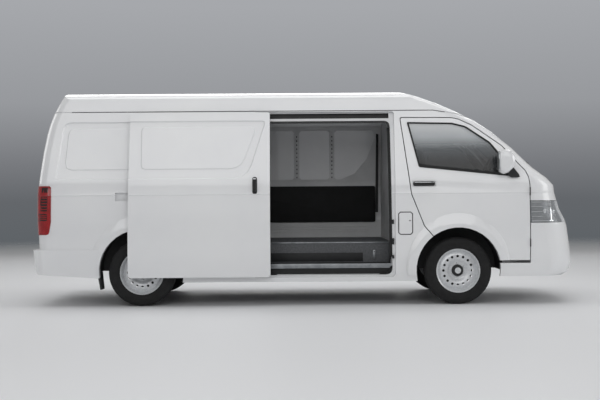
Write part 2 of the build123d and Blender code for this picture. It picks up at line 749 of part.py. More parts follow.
# Ladder frame: two rails, then the members between them
rail_inner_y = rail_y - rail_width / 2
with BuildPart() as chassis_frame:
    for side in (-1, 1):
        rail_span = sorted((side * rail_inner_y, side * (rail_y + rail_width / 2)))
        add(block((-2590, toe_board_x + 180), rail_span, (rail_bottom_z, rail_top_z)))
keep(chassis_frame, "chassis_frame")

with BuildPart() as cross_members:
    for x in (-2590, -1130, 880, toe_board_x + 110):
        add(block((x, x + 70), (-rail_inner_y, rail_inner_y), (rail_bottom_z, rail_top_z)))
keep(cross_members, "cross_members")

with BuildPart() as battery_pack:
    add(block((-1050, 870), (-360, 360), (245, 500)))
    chamfer(battery_pack.edges().filter_by(Axis.Z), length=24)
    for x in (-900, -300, 300, 720):
        add(block((x, x + 80), (-rail_y, rail_y), (rail_bottom_z - 12, rail_bottom_z)))
keep(battery_pack, "battery_pack")

# Running gear
half_tread = tyre_width / 2
rim_half = rim_width / 2
bead_radius = rim_radius + seat_gap
bead_y = 69.5
tyre_rows = [
    (-bead_y, bead_radius + 4, 0), (-half_tread, 255, 0), (4 - half_tread, 300, 0), (32 - half_tread, tyre_radius, 0),
    (half_tread - 32, tyre_radius, 0), (half_tread - 4, 300, 0), (half_tread, 255, 0), (bead_y, bead_radius + 4, 0),
]
with BuildPart() as tyre_form:
    add(turned(tyre_rows))
    add(turned([(-100, bead_radius, 0), (100, bead_radius, 0)]), mode=Mode.SUBTRACT)
tyre = tyre_form.part

# Pressed steel wheel: rim, crowned disc with a ring of holes, and hub seat; the outer face is at +Y
disc_y = 38
rim_rows = [
    (-rim_half, rim_radius + 8, 0), (-rim_half + 7, rim_radius + 8, 0), (-rim_half + 14, rim_radius, 0),
    (rim_half - 14, rim_radius, 0), (rim_half - 7, rim_radius + 8, 0), (rim_half, rim_radius + 8, 0),
]
crown_rows = [(disc_y - 2, 172, 0), (disc_y + 8, 160, 0)]
bowl_rows = [(disc_y - 12, 66, 0), (disc_y + 9, 104, 0)]
with BuildPart() as front_hollow:
    add(turned([(disc_y, 190, 0), (rim_half + 5, 202, 0)]))
    add(turned(crown_rows), mode=Mode.SUBTRACT)
with BuildPart() as wheel_form:
    add(turned(rim_rows))
    add(turned([(-rim_half - 5, 198, 0), (disc_y - 16, 186, 0)]), mode=Mode.SUBTRACT)
    add(front_hollow.part, mode=Mode.SUBTRACT)
    add(turned(bowl_rows), mode=Mode.SUBTRACT)
    add(turned([(-30, 80, 0), (disc_y - 15, 80, 0)], 16))
    with BuildSketch(Plane.XZ.offset(-far)):
        with PolarLocations(hole_ring_radius, rim_holes):
            RegularPolygon(hole_radius, 6)
        Circle(spindle_radius + seat_gap)
    extrude(amount=2 * far, mode=Mode.SUBTRACT)
wheel = wheel_form.part

# columns: place name, axle x, side
corners = [
    ("front_right", front_axle_x, -1),
    ("front_left", front_axle_x, 1),
    ("rear_right", rear_axle_x, -1),
    ("rear_left", rear_axle_x, 1),
]
for place, x, side in corners:
    for shape, name in ((tyre, "tyre"), (wheel, "wheel")):
        facing = shape if side > 0 else shape.mirror(Plane.XZ)
        with BuildPart() as corner:
            add(facing.moved(Pos(x, side * wheel_centre_y, axle_z)))
        keep(corner, f"{name}_{place}")

spindle_end_y = wheel_centre_y + disc_y - 14
with BuildPart() as knuckle_right:
    add(block((front_axle_x - 24, front_axle_x + 24), (-764, -704), (248, 420)))
    add(shaft(front_axle_x, spindle_radius, -spindle_end_y, -750))
    with Locations((front_axle_x, -kingpin_y, 260), (front_axle_x, -kingpin_y, 408)):
        Cylinder(pin_radius + seat_gap, 26, mode=Mode.SUBTRACT)
keep(knuckle_right, "knuckle_right")
keep(mirrored(knuckle_right.part, "knuckle_left"), "knuckle_left")

with BuildPart() as front_suspension:
    add(block((front_axle_x - 60, front_axle_x + 60), (-300, 300), (205, 420)))
    add(block((front_axle_x - 40, front_axle_x + 40), (-450, 450), (420, rail_bottom_z)))
    for side in (-1, 1):
        lower = sorted((side * 280, side * (kingpin_y + 22)))
        upper = sorted((side * 430, side * (kingpin_y + 22)))
        add(block((front_axle_x - 26, front_axle_x + 26), lower, (216, 240)))
        add(block((front_axle_x - 22, front_axle_x + 22), upper, (428, 448)))
        with Locations((front_axle_x, side * kingpin_y, 250), (front_axle_x, side * kingpin_y, 418)):
            Cylinder(pin_radius, 36)
keep(front_suspension, "front_suspension")

with BuildPart() as rear_axle:
    add(disc(rear_axle_x, 42, -700, 700, axle_z, 12))
    add(shaft(rear_axle_x, spindle_radius, -spindle_end_y, spindle_end_y))
    add(disc(rear_axle_x, 120, -150, 150, axle_z, 16))
    add(disc(rear_axle_x + 150, 105, -190, 150, axle_z + 20, 16))
    for side in (-1, 1):
        plate = sorted((side * 700, side * 716))
        add(disc(rear_axle_x, 135, *plate, axle_z, 20))
keep(rear_axle, "rear_axle")

# Leaf springs, right side first; each is clamped on the axle tube and meets the rail at its ends
spring_reach = 520
spring_line = [(-spring_reach, 440), (-300, 397), (-110, 372), (110, 372), (300, 397), (spring_reach, 440)]
spring_leaf = 16
spring_width = 50
with BuildPart() as spring_right:
    with BuildSketch(Plane.XZ.offset(rail_y - spring_width / 2)):
        with BuildLine():
            Polyline(*spring_line, *[(x, z + spring_leaf) for x, z in reversed(spring_line)], close=True)
        make_face()
        with Locations((0, 366)):
            Rectangle(70, 34)
        for end in (-spring_reach, spring_reach):
            with Locations((end, 445)):
                Rectangle(spring_width, 30)
    extrude(amount=spring_width)
    add(disc(0, 42, -reach, reach, axle_z, 12), mode=Mode.SUBTRACT)
with BuildPart() as leaf_springs:
    add(spring_right.part.moved(Pos(rear_axle_x, 0, 0)))
    add(spring_right.part.moved(Pos(rear_axle_x, 0, 0)).mirror(Plane.XZ))
keep(leaf_springs, "leaf_springs")

# Cab fittings: side outlines of a seat's cushion, back and head restraint, each with its own width
cushion_outline = [(1180, seat_platform_z), (1700, seat_platform_z), (1700, 960), (1180, 960)]
back_outline = [(1190, 920), (1320, 920), (1160, 1560), (1050, 1560)]
rest_outline = [(1062, 1540), (1142, 1540), (1142, 1700), (1062, 1700)]
# columns: outline, corner radius, width
seat_parts = [
    (cushion_outline, 36, seat_width), (back_outline, 30, seat_width), (rest_outline, 28, seat_width / 2),
]
with BuildPart() as seats:
    for y in (-430, 430):
        for outline, radius, width in seat_parts:
            add(side_prism(outline, [radius] * len(outline), 0, width).moved(Pos(0, y + width / 2, 0)))
keep(seats, "seats")

column_tilt = 65
ring_radius = 200
ring_bar = 28
column = Plane(
    origin=(1985, 400, 1330), x_dir=(0, 1, 0), z_dir=(sin(radians(column_tilt)), 0, -cos(radians(column_tilt)))
)
with BuildPart() as steering_wheel:
    with BuildSketch(column.offset(-ring_bar / 2)):
        RegularPolygon(ring_radius, 20)
        RegularPolygon(ring_radius - ring_bar, 20, mode=Mode.SUBTRACT)
    extrude(amount=ring_bar)
    with BuildSketch(column.offset(-12)):
        RegularPolygon(55, 12)
        for turn in (90, 210, 330):
            with Locations(Location((0, 0), turn)):
                with Locations((95, 0)):
                    Rectangle(170, 36)
    extrude(amount=24)
    with BuildSketch(column):
        RegularPolygon(32, 8)
    extrude(amount=150)
keep(steering_wheel, "steering_wheel")

# The dashboard's front is cut away under the bonnet's path
dashboard_outline = [
    (toe_board_x, 930), (2110, 960), (2060, 1120), (2080, 1235), (2150, 1292), (2196, 1292), (2208, 1240),
    (2250, 1190), (toe_board_x, 1170),
]
with BuildPart() as dashboard:
    add(side_prism(dashboard_outline, [2, 20, 20, 20, 14, 10, 2, 2, 2]))
    add(dashboard.part.mirror(Plane.XZ))
    add(flange_inner, mode=Mode.INTERSECT)
    add(steering_wheel.part, mode=Mode.SUBTRACT)
keep(dashboard, "dashboard")

# Door mirrors: a housing that swells outward, and a foot on the door skin
mirror_outline = [
    (1862, 1488), (1905, 1504), (1960, 1498), (1998, 1446), (2012, 1384), (1994, 1330), (1944, 1282),
    (1902, 1268), (1864, 1288), (1850, 1340), (1850, 1440),
]
mirror_middle = (1930, 1388)
# columns: Y place, share of the full outline
mirror_sections = [(965, 0.86), (996, 1), (1072, 1), (1104, 0.88), (1118, 0.62)]
with BuildPart() as mirror_right:
    for y, share in mirror_sections:
        with BuildSketch(Plane.XZ.offset(y)):
            with BuildLine():
                Polyline(
                    *[
                        (mirror_middle[0] + (x - mirror_middle[0]) * share,
                         mirror_middle[1] + (z - mirror_middle[1]) * share)
                        for x, z in mirror_outline
                    ],
                    close=True,
                )
            make_face()
    loft(ruled=True)
keep(mirror_right, "mirror_right")
keep(mirrored(mirror_right.part, "mirror_left"), "mirror_left")

foot_outline = [(1958, 1260), (1978, 1352), (2000, 1350), (2070, 1262), (2066, 1236), (2000, 1236)]
with BuildPart() as mirror_foot_right:
    add(side_prism(foot_outline, [10, 8, 8, 12, 8, 8], 0, 965))
    add(body_outer, mode=Mode.SUBTRACT)
keep(mirror_foot_right, "mirror_foot_right")
keep(mirrored(mirror_foot_right.part, "mirror_foot_left"), "mirror_foot_left")


def pull(x_span, z_span, along, foot_y):
    """A bar handle standing off the body side on two feet."""
    foot = 26
    with BuildPart() as bar:
        add(block(x_span, (-974, -954), z_span))
        chamfer(bar.edges().filter_by(along), length=6)
        if along == Axis.X:
            feet = [((x, x + foot), z_span) for x in (x_span[0], x_span[1] - foot)]
        else:
            feet = [(x_span, (z, z + foot)) for z in (z_span[0], z_span[1] - foot)]
        for foot_x, foot_z in feet:
            add(block(foot_x, (-960, -foot_y), foot_z))
    return bar.part


handle_form = pull((1046, 1246), (1166, 1196), Axis.X, handle_floor_y)
with BuildPart() as handle_right:
    add(handle_form)
keep(handle_right, "handle_right")
keep(mirrored(handle_form, "handle_left"), "handle_left")

slide_handle_x = sliding_door_rear_x + 24 + sliding_door_travel
with BuildPart() as slide_handle:
    add(pull((slide_handle_x - 16, slide_handle_x + 16), (1108, 1240), Axis.Z, 880))
    add(body_outer, mode=Mode.SUBTRACT)
with BuildPart() as slide_handle_open:
    add(slide_handle.part.moved(open_place))
keep(slide_handle_open, "slide_handle")

# Charging hatch: the flap, and the socket that fills the hole behind it
socket_x = (flap_x[0] + flap_x[1]) / 2
socket_z = (flap_z[0] + flap_z[1]) / 2
socket_bore_radius = 29
contact_ring = 15
with BuildPart() as charge_flap:
    add(body_outer)
    add(flap_floor, mode=Mode.SUBTRACT)
    add(side_prism(hatch_outline, hatch_radii, -shut_gap / 2), mode=Mode.INTERSECT)
keep(charge_flap, "charge_flap")

with BuildPart() as charge_socket:
    add(side_prism(hatch_outline, hatch_radii, shut_gap / 2 - seat_gap))
    add(block((-far, far), (-901, -871), (0, far)), mode=Mode.INTERSECT)
    add(disc(socket_x, 38, -921, -900, socket_z, 16))
    add(shaft(socket_x, socket_bore_radius, -reach, -896, socket_z), mode=Mode.SUBTRACT)
    for turn in range(6):
        contact_x = socket_x + contact_ring * cos(radians(60 * turn))
        contact_z = socket_z + contact_ring * sin(radians(60 * turn))
        add(disc(contact_x, 3, -reach, -888, contact_z, 4), mode=Mode.SUBTRACT)
keep(charge_socket, "charge_socket")

# Sliding door gear: the upper channel behind its slot, and the door's three carriers
roller_radius = 15
with BuildPart() as door_rail:
    add(block((slot_x[0] - 8, slot_x[1] + 8), (-reach, -715), (slot_z[0] - 8, slot_z[1] + 8)))
    add(flange_inner, mode=Mode.INTERSECT)
    add(block(slot_x, (-reach, -722), slot_z), mode=Mode.SUBTRACT)
keep(door_rail, "door_rail")

door_panel = sliding_door_form.part.moved(open_place)
with BuildPart() as door_carriers:
    add(block((-436, -396), (-885, -740), (1850, 1868)))
    with BuildSketch(Plane.XY.offset(slot_z[0] + seat_gap)):
        with Locations((-416, -740)):
            RegularPolygon(roller_radius, 12)
    extrude(amount=slot_z[1] - slot_z[0] - 2 * seat_gap)
    add(block((-436, -396), (-975, -836), (322, 352)))
    add(block((-436, -396), (-862, -836), (322, step_bottom_z)))
    add(block((-1735, -1675), (-990, -902), (1056, 1084)))
    with BuildSketch(Plane.XY.offset(centre_rail_z[0] + seat_gap)):
        with Locations((-1722, -914), (-1688, -914)):
            RegularPolygon(12, 8)
    extrude(amount=centre_rail_z[1] - centre_rail_z[0] - 2 * seat_gap)
    add(door_panel, mode=Mode.SUBTRACT)
keep(door_carriers, "door_carriers")

# Hinges: they stand in the shut gaps, fast to the body, with pins on the lids' axes
door_hinge_x = (nose_x - shut_gap + seat_gap, nose_x)
door_pin_x = nose_x - shut_gap / 2
lid_pin_z = gutter_z - shut_gap / 2
flap_hinge_x = (flap_x[0] - shut_gap / 2, flap_x[0] + shut_gap / 2 - seat_gap)
hinge_pin_radius = 3.5
flap_pin_y = 947
with BuildPart() as hinge_blocks:
    for side in (-1, 1):
        door_y = sorted((side * (hinge_out_y - 2), side * 895))
        lid_y = sorted((side * 400, side * 460))
        for z in (560, 1060):
            add(block(door_hinge_x, door_y, (z, z + 80)))
            with Locations((door_pin_x, side * hinge_out_y, z + 40)):
                Cylinder(hinge_pin_radius, 80)
        add(block((tailgate_hinge_x, -2492), lid_y, (gutter_z - shut_gap + seat_gap, gutter_z)))
        with Locations((tailgate_hinge_x, side * 430, lid_pin_z)):
            Cylinder(hinge_pin_radius, 60, rotation=(90, 0, 0))
        add(block((2285, 2320), lid_y, (bonnet_top_z - bonnet_gap + seat_gap, bonnet_top_z)))
    add(block(flap_hinge_x, (-flap_pin_y, -934), (socket_z - 60, socket_z + 60)))
    with Locations((flap_x[0], -flap_pin_y, socket_z)):
        Cylinder(hinge_pin_radius, 120)
keep(hinge_blocks, "hinge_blocks")

os.makedirs("parts", exist_ok=True)
for piece in pieces:
    solids = len(piece.solids())
    print(f"{piece.label}: solids {solids}, litres {piece.volume / 1e6:.2f}")
    export_step(piece, f"parts/{piece.label}.step")
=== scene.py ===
import json
from math import atan2, cos, hypot, pi, radians, sin

import bmesh
import bpy
from mathutils import Matrix, Vector
from mathutils.bvhtree import BVHTree


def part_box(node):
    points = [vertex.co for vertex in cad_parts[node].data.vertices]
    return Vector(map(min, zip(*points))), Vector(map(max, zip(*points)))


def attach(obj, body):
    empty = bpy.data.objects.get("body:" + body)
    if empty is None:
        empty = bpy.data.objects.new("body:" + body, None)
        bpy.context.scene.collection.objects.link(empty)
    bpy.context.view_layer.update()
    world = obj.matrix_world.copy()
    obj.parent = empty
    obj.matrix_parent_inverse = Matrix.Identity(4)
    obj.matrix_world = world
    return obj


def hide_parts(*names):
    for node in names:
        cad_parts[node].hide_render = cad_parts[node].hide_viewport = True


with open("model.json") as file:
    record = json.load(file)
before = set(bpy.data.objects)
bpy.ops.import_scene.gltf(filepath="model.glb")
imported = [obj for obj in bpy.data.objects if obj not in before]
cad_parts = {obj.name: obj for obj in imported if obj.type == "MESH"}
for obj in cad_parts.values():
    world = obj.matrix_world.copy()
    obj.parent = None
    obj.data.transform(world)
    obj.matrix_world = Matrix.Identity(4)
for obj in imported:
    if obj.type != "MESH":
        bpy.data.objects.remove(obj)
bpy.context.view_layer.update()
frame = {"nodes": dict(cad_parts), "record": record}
nodes = frame["nodes"]
places = ["front_right", "front_left", "rear_right", "rear_left"]
mm = 0.001
print("frame loaded:", len(nodes), "nodes")

# Camera: a level side view from a little over eleven metres, at chest height
camera = {
    "place": (-0.067, -11.27, 1.03),
    "lens": 63.54,
    "sensor": 36.0,
    "roll": radians(-0.395),
}


def makeCamera():
    data = bpy.data.cameras.new("sideCamera")
    data.lens = camera["lens"]
    data.sensor_width = camera["sensor"]
    data.sensor_fit = "HORIZONTAL"
    data.clip_end = 200
    eye = bpy.data.objects.new("sideCamera", data)
    eye.matrix_world = (
        Matrix.Translation(camera["place"])
        @ Matrix.Rotation(radians(90), 4, "X")
        @ Matrix.Rotation(camera["roll"], 4, "Z")
    )
    bpy.context.scene.collection.objects.link(eye)
    bpy.context.scene.camera = eye


def linear(hexText):
    values = [int(hexText[i:i + 2], 16) / 255 for i in (1, 3, 5)]
    return [v / 12.92 if v <= 0.04045 else ((v + 0.055) / 1.055) ** 2.4 for v in values] + [1.0]


def addNode(tree, kind, settings=None, links=None):
    node = tree.nodes.new(kind)
    for name, value in (settings or {}).items():
        if isinstance(name, int) or name in node.inputs:
            node.inputs[name].default_value = value
        else:
            setattr(node, name, value)
    for name, source in (links or {}).items():
        tree.links.new(source, node.inputs[name])
    return node


# Studio: pale floor, grey backdrop, soft lamps
studio = {
    "floorColour": "#e1e2e4",
    # the floor is whole up to the first distance from the middle and gone at the second, in metres
    "floorEdge": (9.5, 19.0),
    # height of the line of sight, colour
    "backFade": [
        (-0.05, "#5d6266"), (0.0, "#64676b"), (0.035, "#797b7f"), (0.09, "#97999d"), (0.18, "#a6a8ac"),
    ],
    "floorRadius": 20.0,
    "fill": 0.32,
    # name, place, aim, width, height, watts
    "lamps": [
        ("overhead", (0.2, -0.4, 6.5), (0.2, 0.0, 1.0), 9.0, 4.5, 210),
        ("sideSoft", (-0.5, -8.0, 3.6), (0.0, 0.0, 0.9), 9.0, 3.0, 155),
        ("frontKick", (8.0, -2.5, 3.0), (1.5, 0.0, 1.1), 3.5, 3.0, 100),
        ("rearKick", (-8.0, 1.5, 3.4), (-1.5, 0.0, 1.2), 3.5, 3.0, 70),
        ("farSide", (0.0, 8.0, 4.2), (0.0, 0.0, 0.9), 9.0, 3.0, 150),
    ],
}


# A colour ramp through the given stops, each a share and a colour
def fadeRamp(tree, stops, source):
    ramp = addNode(tree, "ShaderNodeValToRGB", None, {"Fac": source})
    elements = ramp.color_ramp.elements
    while len(elements) < len(stops):
        elements.new(0.5)
    for element, (share, colour) in zip(elements, stops):
        element.position = share
    for element, (share, colour) in zip(elements, stops):
        element.color = linear(colour)
    return ramp.outputs["Color"]


def makeStudio():
    bm = bmesh.new()
    bmesh.ops.create_circle(bm, cap_ends=True, segments=96, radius=studio["floorRadius"])
    mesh = bpy.data.meshes.new("studioFloor")
    bm.to_mesh(mesh)
    bm.free()
    floor = bpy.data.objects.new("studioFloor", mesh)
    bpy.context.scene.collection.objects.link(floor)
    material, tree, shader, coords = startMaterial("floorPaint", studio["floorColour"], 0.55)
    grain(tree, shader, coords, 60, 0.2)
    distance = addNode(tree, "ShaderNodeVectorMath", {"operation": "LENGTH"}, {0: coords})
    whole, gone = studio["floorEdge"]
    share = addNode(
        tree, "ShaderNodeMapRange",
        {"interpolation_type": "SMOOTHSTEP", "From Min": whole, "From Max": gone,
         "To Min": 1.0, "To Max": 0.0},
        {"Value": distance.outputs["Value"]},
    )
    tree.links.new(share.outputs[0], shader.inputs["Alpha"])
    mesh.materials.append(material)

    world = bpy.data.worlds.new("studioWorld")
    bpy.context.scene.world = world
    world.use_nodes = True
    tree = world.node_tree
    tree.nodes.clear()
    fill = addNode(tree, "ShaderNodeBackground", {"Color": (1, 1, 1, 1), "Strength": studio["fill"]})
    sight = addNode(tree, "ShaderNodeTexCoord")
    height = addNode(tree, "ShaderNodeSeparateXYZ", None, {0: sight.outputs["Generated"]})
    low, high = studio["backFade"][0][0], studio["backFade"][-1][0]
    share = addNode(
        tree, "ShaderNodeMapRange", {"From Min": low, "From Max": high}, {"Value": height.outputs["Z"]}
    )
    stops = [((h - low) / (high - low), colour) for h, colour in studio["backFade"]]
    fade = fadeRamp(tree, stops, share.outputs[0])
    seen = addNode(tree, "ShaderNodeBackground", {"Strength": 1.0}, {"Color": fade})
    path = addNode(tree, "ShaderNodeLightPath")
    either = addNode(
        tree, "ShaderNodeMath", {"operation": "MAXIMUM"},
        {0: path.outputs["Is Camera Ray"], 1: path.outputs["Is Transmission Ray"]},
    )
    mix = addNode(
        tree, "ShaderNodeMixShader", None, {0: either.outputs[0], 1: fill.outputs[0], 2: seen.outputs[0]}
    )
    addNode(tree, "ShaderNodeOutputWorld", None, {"Surface": mix.outputs[0]})

    for name, place, aim, width, height, watts in studio["lamps"]:
        light = bpy.data.lights.new(name, "AREA")
        light.shape = "RECTANGLE"
        light.size = width
        light.size_y = height
        light.energy = watts
        lamp = bpy.data.objects.new(name, light)
        lamp.location = place
        lamp.rotation_euler = (Vector(aim) - Vector(place)).to_track_quat("-Z", "Y").to_euler()
        bpy.context.scene.collection.objects.link(lamp)
    bpy.context.scene.view_settings.view_transform = "Standard"


# Painted colour of the windows by height: painted shade near black at the foot, rising to a pale painted
# reflection of the bright ceiling at the top; height above the ground in metres, colour
glassTintPaintedReflection = [(1.28, "#08090a"), (1.40, "#16191b"), (1.52, "#545a5e"), (1.64, "#c4c9cc"), (1.78, "#eef0f2")]


def startMaterial(name, colour, roughness, metallic=0.0, settings=None):
    material = bpy.data.materials.new(name)
    material.use_nodes = True
    tree = material.node_tree
    tree.nodes.clear()
    shader = addNode(
        tree, "ShaderNodeBsdfPrincipled",
        {"Base Color": linear(colour), "Roughness": roughness, "Metallic": metallic, **(settings or {})},
    )
    addNode(tree, "ShaderNodeOutputMaterial", None, {"Surface": shader.outputs[0]})
    coords = addNode(tree, "ShaderNodeTexCoord").outputs["Object"]
    return material, tree, shader, coords


# Slow change of colour over a surface, from patches of the given size in millimetres
def mottle(tree, shader, coords, patch, light, dark):
    noise = addNode(
        tree, "ShaderNodeTexNoise", {"Scale": 1 / (patch * mm), "Detail": 4.0, "Roughness": 0.6},
        {"Vector": coords},
    )
    fade = fadeRamp(tree, [(0.35, dark), (0.65, light)], noise.outputs["Fac"])
    tree.links.new(fade, shader.inputs["Base Color"])


# Fine relief from grains of the given size and height in millimetres
def grain(tree, shader, coords, size, height):
    noise = addNode(
        tree, "ShaderNodeTexNoise", {"Scale": 1 / (size * mm), "Detail": 3.0}, {"Vector": coords}
    )
    bump = addNode(
        tree, "ShaderNodeBump", {"Strength": 1.0, "Distance": height * mm}, {"Height": noise.outputs["Fac"]}
    )
    tree.links.new(bump.outputs["Normal"], shader.inputs["Normal"])


# Finishes with slow patches of colour and, where the last pair is given, a fine relief
plainFinishes = {
    # name, colour, roughness, metallic, settings, (patch size, light, dark), (grain size, grain height)
    # two-coat enamel: even, with a clear wet gloss; its peel is 2 mm wide, drawn coarser to show
    "whiteEnamel": ("whiteEnamel", "#e6e7e8", 0.38, 0.0, {"Coat Weight": 0.8, "Coat Roughness": 0.05},
                    (700, "#e7e8e9", "#e3e4e6"), (14, 0.012)),
    # moulded polypropylene: black, dull, with a fine leather grain
    "mouldedBlack": ("mouldedPolypropylene", "#1d1e20", 0.62, 0.0, {}, (60, "#212224", "#191a1c"), (3, 0.15)),
    # piano-black ABS: deep and mirror-smooth
    "pianoBlack": ("pianoBlackAbs", "#0d0e10", 0.16, 0.0, {"Coat Weight": 0.6, "Coat Roughness": 0.04},
                   (90, "#101113", "#0b0c0d"), (20, 0.004)),
    # extruded EPDM rubber: soft black that drinks the light
    "sealRubber": ("extrudedEpdmRubber", "#121314", 0.7, 0.0, {}, (25, "#161718", "#0f1011"), (2, 0.06)),
    # tyre rubber: warm black, dusty in the shoulders
    "tyreRubber": ("tyreRubber", "#121213", 0.82, 0.0, {}, (45, "#171718", "#0e0e0f"), (4, 0.12)),
    # chrome-plated ABS: bright and sharp
    "chromePlate": ("chromePlate", "#d9dbdd", 0.08, 1.0, {}, (40, "#dcdee0", "#cfd2d5"), (12, 0.003)),
    # silver-painted pressed steel: metallic, with the sheen of fine flake
    "silverWheelPaint": ("silverWheelPaint", "#cfd1d4", 0.36, 0.35,
                         {"Coat Weight": 0.4, "Coat Roughness": 0.12}, (18, "#d8dadc", "#c8cacd"), (5, 0.02)),
    # electrocoated chassis steel: satin black with thin road dust
    "chassisCoat": ("chassisElectrocoat", "#232425", 0.52, 0.0, {}, (110, "#2b2b2b", "#1c1d1e"), (6, 0.08)),
    # cast and sheet aluminium: pale grey with a soft metallic cloud
    "batteryAluminium": ("batteryAluminium", "#8c8f92", 0.42, 0.8, {}, (80, "#989b9e", "#7f8285"), (5, 0.05)),
    # primed inner steel: flat pale grey of an unlined load space
    "primerGrey": ("primerGreySteel", "#d3d4d5", 0.5, 0.0, {}, (260, "#d8d9da", "#cdcecf"), (9, 0.03)),
    # vinyl floor sheet: dark grey with a pebble print
    "floorVinyl": ("floorVinyl", "#55575a", 0.58, 0.0, {}, (16, "#606265", "#4c4e51"), (5, 0.2)),
    # coated fibreboard: near black and matt
    "linerBoard": ("coatedFibreboard", "#0e0f10", 0.75, 0.0, {}, (120, "#121314", "#0b0c0d"), (3, 0.05)),
    # grained dashboard skin: mid grey, soft
    "cabPlastic": ("grainedCabPlastic", "#4a4b4e", 0.6, 0.0, {}, (70, "#4f5053", "#444548"), (3, 0.15)),
    # moulded polycarbonate lens: clear, with the faintest shade
    "clearLens": ("clearPolycarbonate", "#dfe3e6", 0.03, 0.0, {"Alpha": 0.16, "IOR": 1.58},
                  (80, "#e4e8ea", "#d6dadd")),
    # moulded acrylic, red: deep where it is thick
    "redLens": ("redAcrylic", "#b8121a", 0.1, 0.0,
                {"Transmission Weight": 0.35, "IOR": 1.49, "Coat Weight": 0.7, "Coat Roughness": 0.03},
                (50, "#c0141c", "#a50e16")),
    # smoked acrylic: red so deep that it looks black
    "smokedAcrylic": ("smokedAcrylic", "#2a0508", 0.12, 0.0, {"Coat Weight": 0.7, "Coat Roughness": 0.03},
                      (50, "#30070a", "#230406")),
    # vacuum-plated lamp tray: dark chrome, a little soft
    "lampChrome": ("lampTrayPlating", "#55585c", 0.3, 0.6, {}, (30, "#62656a", "#484b4f"), (8, 0.05)),
    # silvered mirror glass: sharp, with a trace of green
    "mirrorSilver": ("silveredMirrorGlass", "#c9ced1", 0.03, 1.0, {}, (120, "#ccd1d4", "#c4c9cc")),
}


def plainFinish(name, colour, roughness, metallic, settings, patches, relief=None):
    material, tree, shader, coords = startMaterial(name, colour, roughness, metallic, settings)
    mottle(tree, shader, coords, *patches)
    if relief:
        grain(tree, shader, coords, *relief)
    return material


# Woven polyester seat cloth: dark grey, the weave drawn at 4 mm so that it shows
def seatCloth():
    material, tree, shader, coords = startMaterial(
        "wovenSeatCloth", "#3b3c40", 0.92, 0.0, {"Sheen Weight": 0.35, "Sheen Roughness": 0.5}
    )
    thread = 4
    wave = addNode(
        tree, "ShaderNodeTexWave", {"wave_type": "BANDS", "bands_direction": "DIAGONAL",
                                    "Scale": 1 / (thread * mm) / 6.28, "Distortion": 0.6},
        {"Vector": coords},
    )
    fade = fadeRamp(tree, [(0.0, "#303135"), (1.0, "#45464b")], wave.outputs["Fac"])
    tree.links.new(fade, shader.inputs["Base Color"])
    bump = addNode(
        tree, "ShaderNodeBump", {"Strength": 1.0, "Distance": 0.4 * mm}, {"Height": wave.outputs["Fac"]}
    )
    tree.links.new(bump.outputs["Normal"], shader.inputs["Normal"])
    return material


# Toughened glass: thin sheets that light goes straight through, grey, with painted shade that deepens to the
# foot and a painted reflection that lightens the top
def tintedGlassPaintedReflection():
    material, tree, shader, coords = startMaterial(
        "toughenedGlassPaintedReflection", "#6f7579", 0.03, 0.0, {"Alpha": 0.54, "IOR": 1.5}
    )
    height = addNode(tree, "ShaderNodeSeparateXYZ", None, {0: coords})
    low, high = glassTintPaintedReflection[0][0], glassTintPaintedReflection[-1][0]
    share = addNode(
        tree, "ShaderNodeMapRange", {"From Min": low, "From Max": high}, {"Value": height.outputs["Z"]}
    )
    # painted reflection and shade: the colour runs from near black at the foot to near white at the top
    fade = fadeRamp(tree, [((z - low) / (high - low), tint) for z, tint in glassTintPaintedReflection], share.outputs[0])
    tree.links.new(fade, shader.inputs["Base Color"])
    return material


makeCamera()
makeStudio()
print("camera and studio ready")

finishes = {name: plainFinish(*row) for name, row in plainFinishes.items()}
finishes["seatCloth"] = seatCloth()
finishes["tintedGlassPaintedReflection"] = tintedGlassPaintedReflection()

# Finish of each CAD node
nodeFinish = {
    "whiteEnamel": [
        "body_side_right", "door_frame_right", "pillar_panel_right", "body_side_left", "roof_panel",
        "nose_panel", "front_bumper", "rear_bumper", "bonnet", "tailgate", "front_door_right",
        "front_door_left", "sliding_door", "mirror_right", "mirror_left", "charge_flap",
    ],
    "mouldedBlack": [
        "wheel_liners", "charge_socket", "steering_wheel", "mud_flaps", "mirror_foot_right",
        "mirror_foot_left",
    ],
    "pianoBlack": ["grille", "handle_right", "handle_left", "slide_handle"],
    "tintedGlassPaintedReflection": ["windscreen", "tailgate_glass", "door_glass_right", "door_glass_left"],
    "clearLens": ["headlamps"],
    "redLens": ["tail_lamps"],
    "primerGrey": ["bulkhead", "inner_frame"],
    "floorVinyl": ["floor_pan", "cab_floor"],
    "linerBoard": ["load_liner"],
    "chassisCoat": [
        "chassis_frame", "cross_members", "door_rail", "front_suspension", "rear_axle", "leaf_springs",
        "knuckle_right", "knuckle_left", "door_carriers", "hinge_blocks",
    ],
    "batteryAluminium": ["battery_pack"],
    "seatCloth": ["seats"],
    "cabPlastic": ["dashboard"],
    "tyreRubber": ["tyre_" + place for place in places],
    "silverWheelPaint": ["wheel_" + place for place in places],
}


def dressNodes():
    for finish, names in nodeFinish.items():
        for name in names:
            mesh = nodes[name].data
            mesh.materials.clear()
            mesh.materials.append(finishes[finish])


dressNodes()
print("CAD nodes dressed")

record = frame["record"]
bodyOf = {name: body for body, names in record["behaviour"]["bodies"].items() for name in names}
slotOf = {row["node"]: row["material_slot"] for row in record["subparts"]}


# Edges flatter than the limit are shaded smooth, the others stay crisp
def softenShading(bm, limit):
    for face in bm.faces:
        face.smooth = True
    for edge in bm.edges:
        edge.smooth = edge.is_manifold and edge.calc_face_angle(0) < radians(limit)


